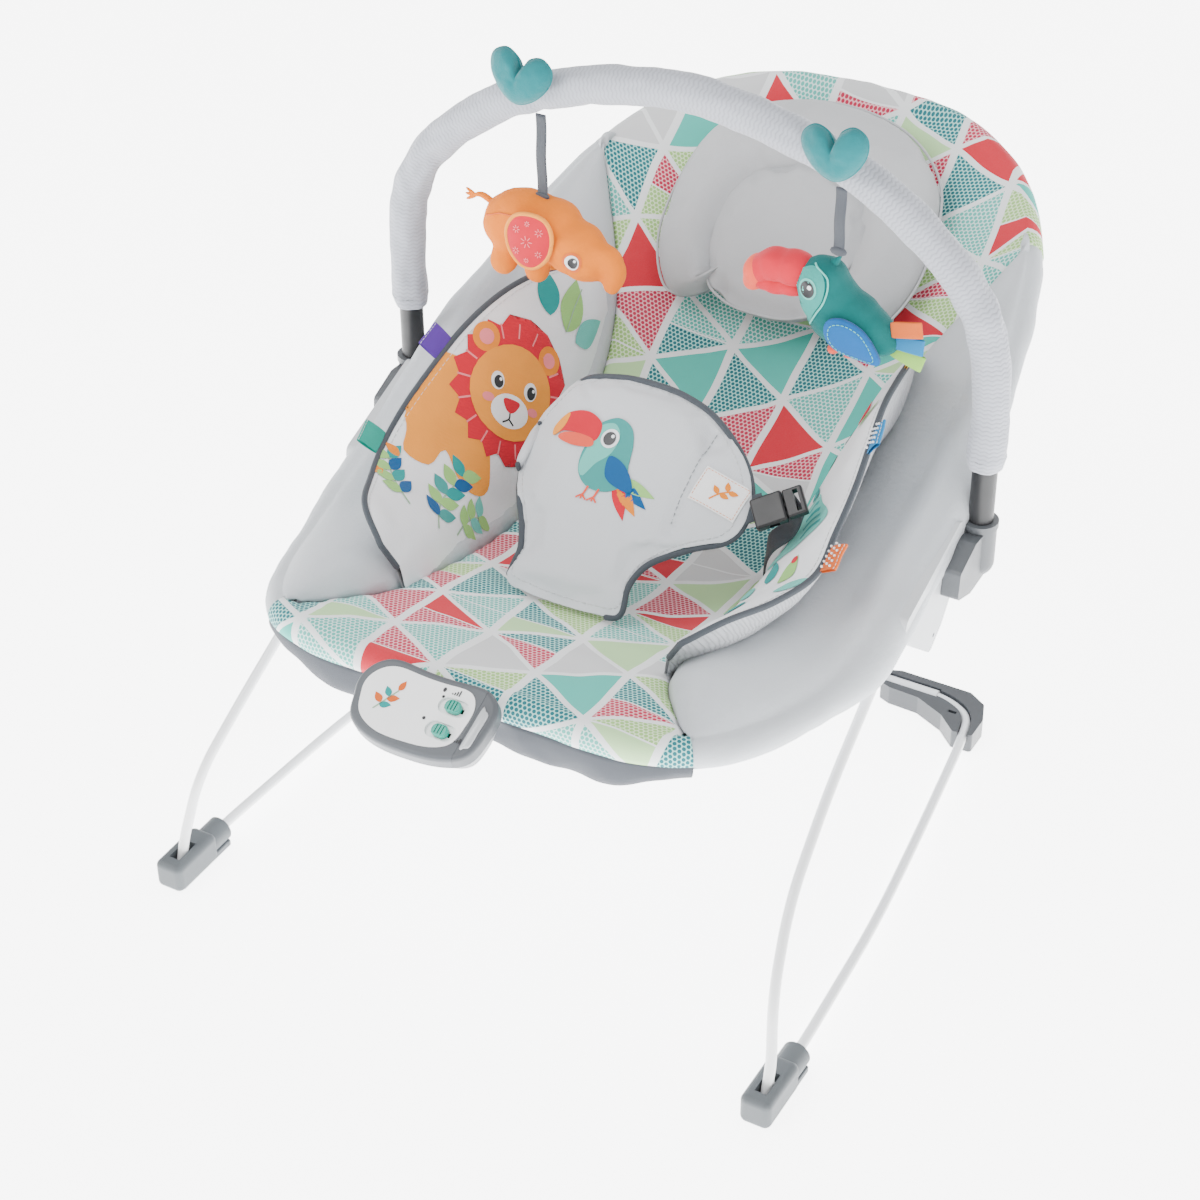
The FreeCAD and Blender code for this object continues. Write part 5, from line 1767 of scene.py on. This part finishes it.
def elephant():
    """Stuffed elephant with a red ear that carries small flowers."""
    body = "toy_elephant"
    y = BAR_Y
    parts = [((-.131, y, .4385), (.0330, .0210, .0235)), ((-.145, y, .434), (.0220, .0205, .0225)),
             ((-.112, y, .437), (.0230, .0210, .0225)),
             ((-.093, y - .003, .4285), (.0240, .0200, .0205)),
             ((-.083, y - .004, .423), (.0200, .0175, .0170))]
    for x, leg in ((-.120, (.0100, .0095, .0120)), (-.147, (.0110, .0100, .0125))):
        parts += [((x, y - .010, .409), leg), ((x, y + .010, .409), leg)]
    trunk = [(-.082, y - .005, .428), (-.066, y - .006, .429), (-.0585, y - .006, .419),
             (-.062, y - .006, .4075)]
    parts += chain(trunk, (.0110, .0066))
    obj = blob("elephant_body", parts, M["orange"], body)
    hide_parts("toy_elephant")
    side = Patch((-.118, y - .0235, .4365), (1, 0.10, 0), (0.06, 0.10, 1))
    ear = [(0, .0200), (.0120, .0170), (.0175, .0060), (.0150, -.0090), (.0050, -.0190), (-.0060, -.0180),
           (-.0145, -.0080), (-.0170, .0060), (-.0110, .0170)]

    def top(share, *_):
        return 0.0030 * (1 - share ** 3) ** 0.8 + 0.0012

    def bottom(*_):
        return -0.0015
    flap, radii = puffed("elephant_ear", ear, (0, 0), side, top, bottom, M["red"], body, 10, 60)
    rim = rim_path(radii, (0, 0), side, 0.0008)
    sweep("elephant_ear_edge", even_curve(rim[:-1], 70, True) + [rim[0]], 0.0016,
          M["light_orange"], body, 8, rounded=False)
    art = Artwork("elephant_ear_print", side, flap, body)
    for u, v, r in ((0, .001, .0045), (-.008, .009, .0028), (.009, .009, .0030),
                    (.009, -.007, .0026), (-.008, -.007, .0028), (0, -.013, .0020),
                    (0, .0140, .0020)):
        for a in (TAU * k / 7 for k in range(7)):
            petal = [(u + r * reach * math.cos(a), v + r * reach * math.sin(a))
                     for reach in (.35, .7, 1)]
            art.line(petal, 0.0006, "pink", 1)
    art.done()
    face = Patch((-.083, y - .023, .428), (1, 0.05, 0), (0, 0.05, 1))
    eye = Artwork("elephant_eye", face, obj, body)
    eye.fill(oval(-.002, -.001, .0072, .0076), "ribbon_orange", 0)
    eye.fill(oval(-.002, -.001, .0052, .0056), "eye_white", 1)
    eye.fill(oval(-.0012, -.0012, .0036, .0040), "ink", 2)
    eye.fill(oval(.0002, .0006, .0010, .0010), "eye_white", 3)
    eye.done()
    belly = Patch((-.125, y - .03, .43), (1, 0, 0), (0, 0, 1))
    seam = [(-.034, .012), (-.018, .0185), (.004, .019), (.020, .012)]
    seam_over("elephant_seam", belly, seam, obj, M["ribbon_orange"], body)
    tail = chain([(-.160, y, .444), (-.170, y, .449), (-.177, y, .447)], (.0028, .0018), 4)
    blob("elephant_tail", tail, M["orange"], body, 0.0012, 2)
    tuft = [ball("elephant_tuft", (-.179, y, .447 + dz), (.0055, .0012, .0014), M["orange"], body,
                 Matrix.Rotation(turn, 3, "Y"), 2) for dz, turn in ((.002, .5), (0, 0), (-.002, -.5))]
    join("elephant_tuft", tuft)
    ball("elephant_strap_loop", (-TOY_X, y, .4602), (.0060, .0022, .0030), M["strap"], body, None, 2)


def bird():
    """Stuffed bird with a large red beak and a tail of folded ribbon."""
    body = "toy_bird"
    y = BAR_Y
    parts = [((.1275, y, .432), (.0260, .0200, .0195)), ((.138, y, .427), (.0240, .0175, .0165)),
             ((.117, y - .001, .443), (.0200, .0185, .0190)),
             ((.1115, y - .001, .4535), (.0180, .0175, .0170)),
             ((.152, y, .421), (.0140, .0115, .0095))]
    obj = blob("bird_body", parts, M["teal"], body)
    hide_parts("toy_bird")
    side = Patch((.118, y - .03, .440), (1, 0, 0), (0, 0, 1))
    art = Artwork("bird_face", side, obj, body)
    cheek = [(-.0225, .012), (-.019, .022), (-.009, .0275), (.000, .022), (.001, .010),
             (-.004, .000), (-.009, -.010), (-.016, -.014), (-.019, -.004)]
    art.fill(smooth_outline(cheek, 48), "teal_light", 0)
    art.fill(oval(-.0095, .0145, .0064, .0068), "aqua_print", 2)
    art.fill(oval(-.0095, .0145, .0050, .0054), "ink", 3)
    art.fill(oval(-.0078, .0166, .0014, .0014), "eye_white", 4)
    art.done()
    seam = [(-.009, .0285), (.0015, .0225), (.0025, .010), (-.003, -.001), (-.009, -.012)]
    seam_over("bird_face_stitch", side, seam, obj, M["aqua_print"], body, 0.0007)
    wing = Patch((.139, y - .0205, .4295), (1, 0.12, -.22), (0.2, 0.05, 1))
    shape = [(-.016, .006), (-.006, .0110), (.008, .008), (.020, -.002), (.024, -.010), (.010, -.0120),
             (-.006, -.0110), (-.015, -.004)]

    def top(share, *_):
        return 0.0035 * (1 - share ** 2.6) ** 0.7 + 0.0008

    def bottom(*_):
        return -0.0020
    middle = (.002, -.001)
    flap, radii = puffed("bird_wing", shape, middle, wing, top, bottom, M["blue"], body, 10, 60)
    inside = rim_path(radii, middle, wing, .02, .80)
    stitches("bird_wing_stitch", on_surface(tree_of(flap), inside, -wing.normal),
             M["aqua_print"], body, 0.0018, 0.0010, 0.0003)
    upper = [(.0920, .4580, (.0150, .0130, .0125)), (.0800, .4575, (.0150, .0125, .0115)),
             (.0710, .4530, (.0105, .0110, .0105))]
    lower = [(.0910, .4470, (.0130, .0115, .0070)), (.0800, .4450, (.0130, .0110, .0070)),
             (.0720, .4440, (.0080, .0095, .0060))]
    tip = [(.0655, .4500, (.0088, .0110, .0110)), (.0640, .4430, (.0075, .0090, .0070))]
    for part, eggs, color, voxel, rounds in (("upper", upper, "red", 0.0018, 4),
                                             ("lower", lower, "red", 0.0016, 4),
                                             ("tip", tip, "coral", 0.0016, 3)):
        eggs = [((x, y - .002, z), size) for x, z, size in eggs]
        blob("bird_beak_" + part, eggs, M[color], body, voxel, rounds)
    tails = (("ribbon_orange", .010, .30), ("ribbon_blue", .002, .05), ("ribbon_green", -.005, -.22))
    for index, (color, dz, turn) in enumerate(tails):
        direction = Vector((math.cos(turn), -.12, math.sin(turn))).normalized()
        across = Vector((-math.sin(turn), 0.25, math.cos(turn)))
        across = (across - direction * across.dot(direction)).normalized()
        root = Vector((.160, y - .002 + .002 * index, .422 + dz))
        ribbon_loop("bird_tail_" + color, root, direction, across, .0235, .0105, color, body)
    for x in (.124, .135):
        ball("bird_foot_%d" % round(x * 1000), (x, y - .007, .4115), (.0042, .0060, .0036),
             M["coral"], body, None, 2)
    ball("bird_strap_loop", (TOY_X, y, .4765), (.0060, .0022, .0032), M["strap"], body, None, 2)
    crest = chain([(.1185, y, .468), (.1225, y, .4735)], (.0035, .0015), 3)
    blob("bird_crest", crest, M["teal"], body, 0.0014, 2)


def grow(body, factor, pivot):
    """Makes every piece of a toy larger about one point."""
    centre = Vector(pivot) + Vector((0, FOOT_Y, 0))
    for obj in bpy.data.objects:
        if obj.get("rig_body") == body and obj.name.split("_")[0] in ("bird", "elephant"):
            for vert in obj.data.vertices:
                vert.co = centre + (vert.co - centre) * factor


elephant()
bird()
grow("toy_bird", 1.12, (TOY_X, BAR_Y, .472))
grow("toy_elephant", 1.06, (-TOY_X, BAR_Y, .458))

# Control unit: small printed marks and the window of the end cap
UNIT_TILT = math.radians(65)
UNIT = Patch((0, -.025, .277), (1, 0, 0), (0, math.sin(UNIT_TILT), math.cos(UNIT_TILT)))


def flat_mark(name, outlines, material, height=0.00084):
    """Thin printed shapes on the control unit's face."""
    bm = bmesh.new()
    for outline in outlines:
        bm.faces.new([bm.verts.new(UNIT.at(x, y, height) + Vector((0, FOOT_Y, 0)))
                      for x, y in outline])
    bmesh.ops.triangulate(bm, faces=bm.faces)
    mesh = bpy.data.meshes.new(name)
    bm.to_mesh(mesh)
    bm.free()
    return finish_piece(new_object(name, mesh), M[material], "seat", False)


def bars(x, y, sizes, spacing=.0017, width=.0010):
    """A row of upright bars that stand for low to high."""
    starts = [(x + k * spacing, tall) for k, tall in enumerate(sizes)]
    return [[(x0, y), (x0 + width, y), (x0 + width, y + tall), (x0, y + tall)] for x0, tall in starts]


dots = [oval(x, y, rx, ry, count=12) for x, y, rx, ry in
        ((.0095, .0145, .0011, .0011), (.0045, -.0045, .0013, .0013), (.0080, .0195, .0013, .0018))]
flat_mark("unit_marks", bars(.014, .0180, (.0010, .0020, .0032, .0044))
          + bars(.0325, -.0135, (.0012, .0024, .0036)) + dots, "ink")
flat_mark("unit_sprig_stem",
          [[(-.0335, -.0100), (-.0325, -.0104), (-.0215, .0075), (-.0225, .0080)]], "stem")
flat_mark("unit_sprig_orange",
          [leaf(-.030, -.0045, .0095, .0052, 2.3), leaf(-.0275, .0000, .0095, .0052, .15),
           leaf(-.0225, .0078, .0085, .0048, 1.2)], "ribbon_orange")
flat_mark("unit_sprig_teal",
          [leaf(-.0265, .0015, .0085, .0048, 2.1), leaf(-.0305, -.0055, .0090, .0050, 0.05)],
          "teal_print")


def cap_window():
    """Smoky lens on the slope of the end cap."""
    outline = smooth_outline([(.0385, -.0165), (.0415, -.0150), (.0445, -.0130), (.0452, 0),
                              (.0455, .0120), (.0425, .0145), (.0395, .0165), (.0388, 0)], 40)
    verts = []
    for height in (-.0005, .0008):
        verts += [UNIT.at(x, y, height) for x, y in outline]
    n = len(outline)
    centre = [sum(x for x, y in outline) / n, sum(y for x, y in outline) / n]
    inner = [UNIT.at(lerp(centre[0], x, .86), lerp(centre[1], y, .90), .0014) for x, y in outline]
    verts += inner
    faces = grid_faces(3, n, False, True)
    faces.append(tuple(2 * n + k for k in range(n)))
    obj = mesh_piece("cap_window", verts, faces, M["window"], "seat")
    recalculate(obj)
    return obj


cap_window()

# Camera, floor and light ------------------------------------------------------------------

AZIMUTH, ELEVATION, ROLL_ANGLE = math.radians(29.83), math.radians(35.90), math.radians(-0.53)
CAMERA_PLACE = (0.8045, -1.1881 + FOOT_Y, 1.3866)
SENSOR_WIDTH, LENS = 36.0, 80.83      # millimetres
FLOOR_HALF = 8.0                      # metres
# Name, place, size in metres, power in watts
LAMPS = [("key", (-1.2, -1.4, 2.6), 1.8, 60.0), ("fill", (2.4, -1.2, 1.8), 2.0, 22.0),
         ("back", (0.4, 2.4, 2.2), 2.0, 26.0)]
LAMP_TARGET = Vector((0, 0.1, 0.25))


def camera():
    back = Vector((math.sin(AZIMUTH) * math.cos(ELEVATION),
                   -math.cos(AZIMUTH) * math.cos(ELEVATION), math.sin(ELEVATION)))
    level = Vector((math.cos(AZIMUTH), math.sin(AZIMUTH), 0))
    rise = back.cross(level)
    right = level * math.cos(ROLL_ANGLE) + rise * math.sin(ROLL_ANGLE)
    up = rise * math.cos(ROLL_ANGLE) - level * math.sin(ROLL_ANGLE)
    data = bpy.data.cameras.new("camera")
    data.sensor_width = SENSOR_WIDTH
    data.lens = LENS
    data.clip_end = 50
    obj = new_object("camera", data)
    turn = Matrix((right, up, back)).transposed().to_4x4()
    obj.matrix_world = Matrix.Translation(CAMERA_PLACE) @ turn
    bpy.context.scene.camera = obj


def studio():
    """White floor, even white surroundings and three soft lamps."""
    floor_mesh = bpy.data.meshes.new("floor")
    corners = [(x * FLOOR_HALF, y * FLOOR_HALF, 0) for x, y in ((-1, -1), (1, -1), (1, 1), (-1, 1))]
    floor_mesh.from_pydata(corners, [], [(0, 1, 2, 3)])
    floor = new_object("floor", floor_mesh)
    s = Shader("floor_white", (.90, .90, .90), 0.6, specular=0.2)
    s.set("Emission Color", (1.0, 1.0, 1.0, 1.0))
    s.set("Emission Strength", 6.0)
    floor.data.materials.append(s.material)
    world = bpy.data.worlds.new("studio")
    bpy.context.scene.world = world
    world.use_nodes = True
    background = world.node_tree.nodes["Background"]
    background.inputs["Color"].default_value = (1.0, 1.0, 1.0, 1.0)
    background.inputs["Strength"].default_value = 1.25
    for name, place, size, power in LAMPS:
        light = bpy.data.lights.new(name, "AREA")
        light.size = size
        light.energy = power
        obj = new_object(name, light)
        obj.location = place
        direction = LAMP_TARGET - Vector(place)
        obj.rotation_euler = direction.to_track_quat("-Z", "Y").to_euler()


camera()
studio()

# Carried-over CAD nodes --------------------------------------------------------------------

NODE_MATERIAL = {
    "wire": "wire", "tube": "tube", "screw": "steel", "foot_rubber": "foot", "foot_clip": "clip",
    "hub": "hub", "socket": "socket", "bar_end": "bar_end", "plush_grey": "plush", "print": "white",
    "under": "under", "webbing": "strap", "ribbon": "turquoise", "sleeve": "sleeve",
    "heart": "heart", "orange": "orange", "teal": "teal", "buckle": "buckle", "case": "case",
    "face": "face", "cap": "cap", "switch": "switch", "battery": "battery", "board": "board",
    "motor": "steel",
}
for row in frame["record"]["subparts"]:
    node = frame["nodes"][row["node"]]
    node.data.materials.clear()
    node.data.materials.append(M[NODE_MATERIAL[row["material_slot"]]])
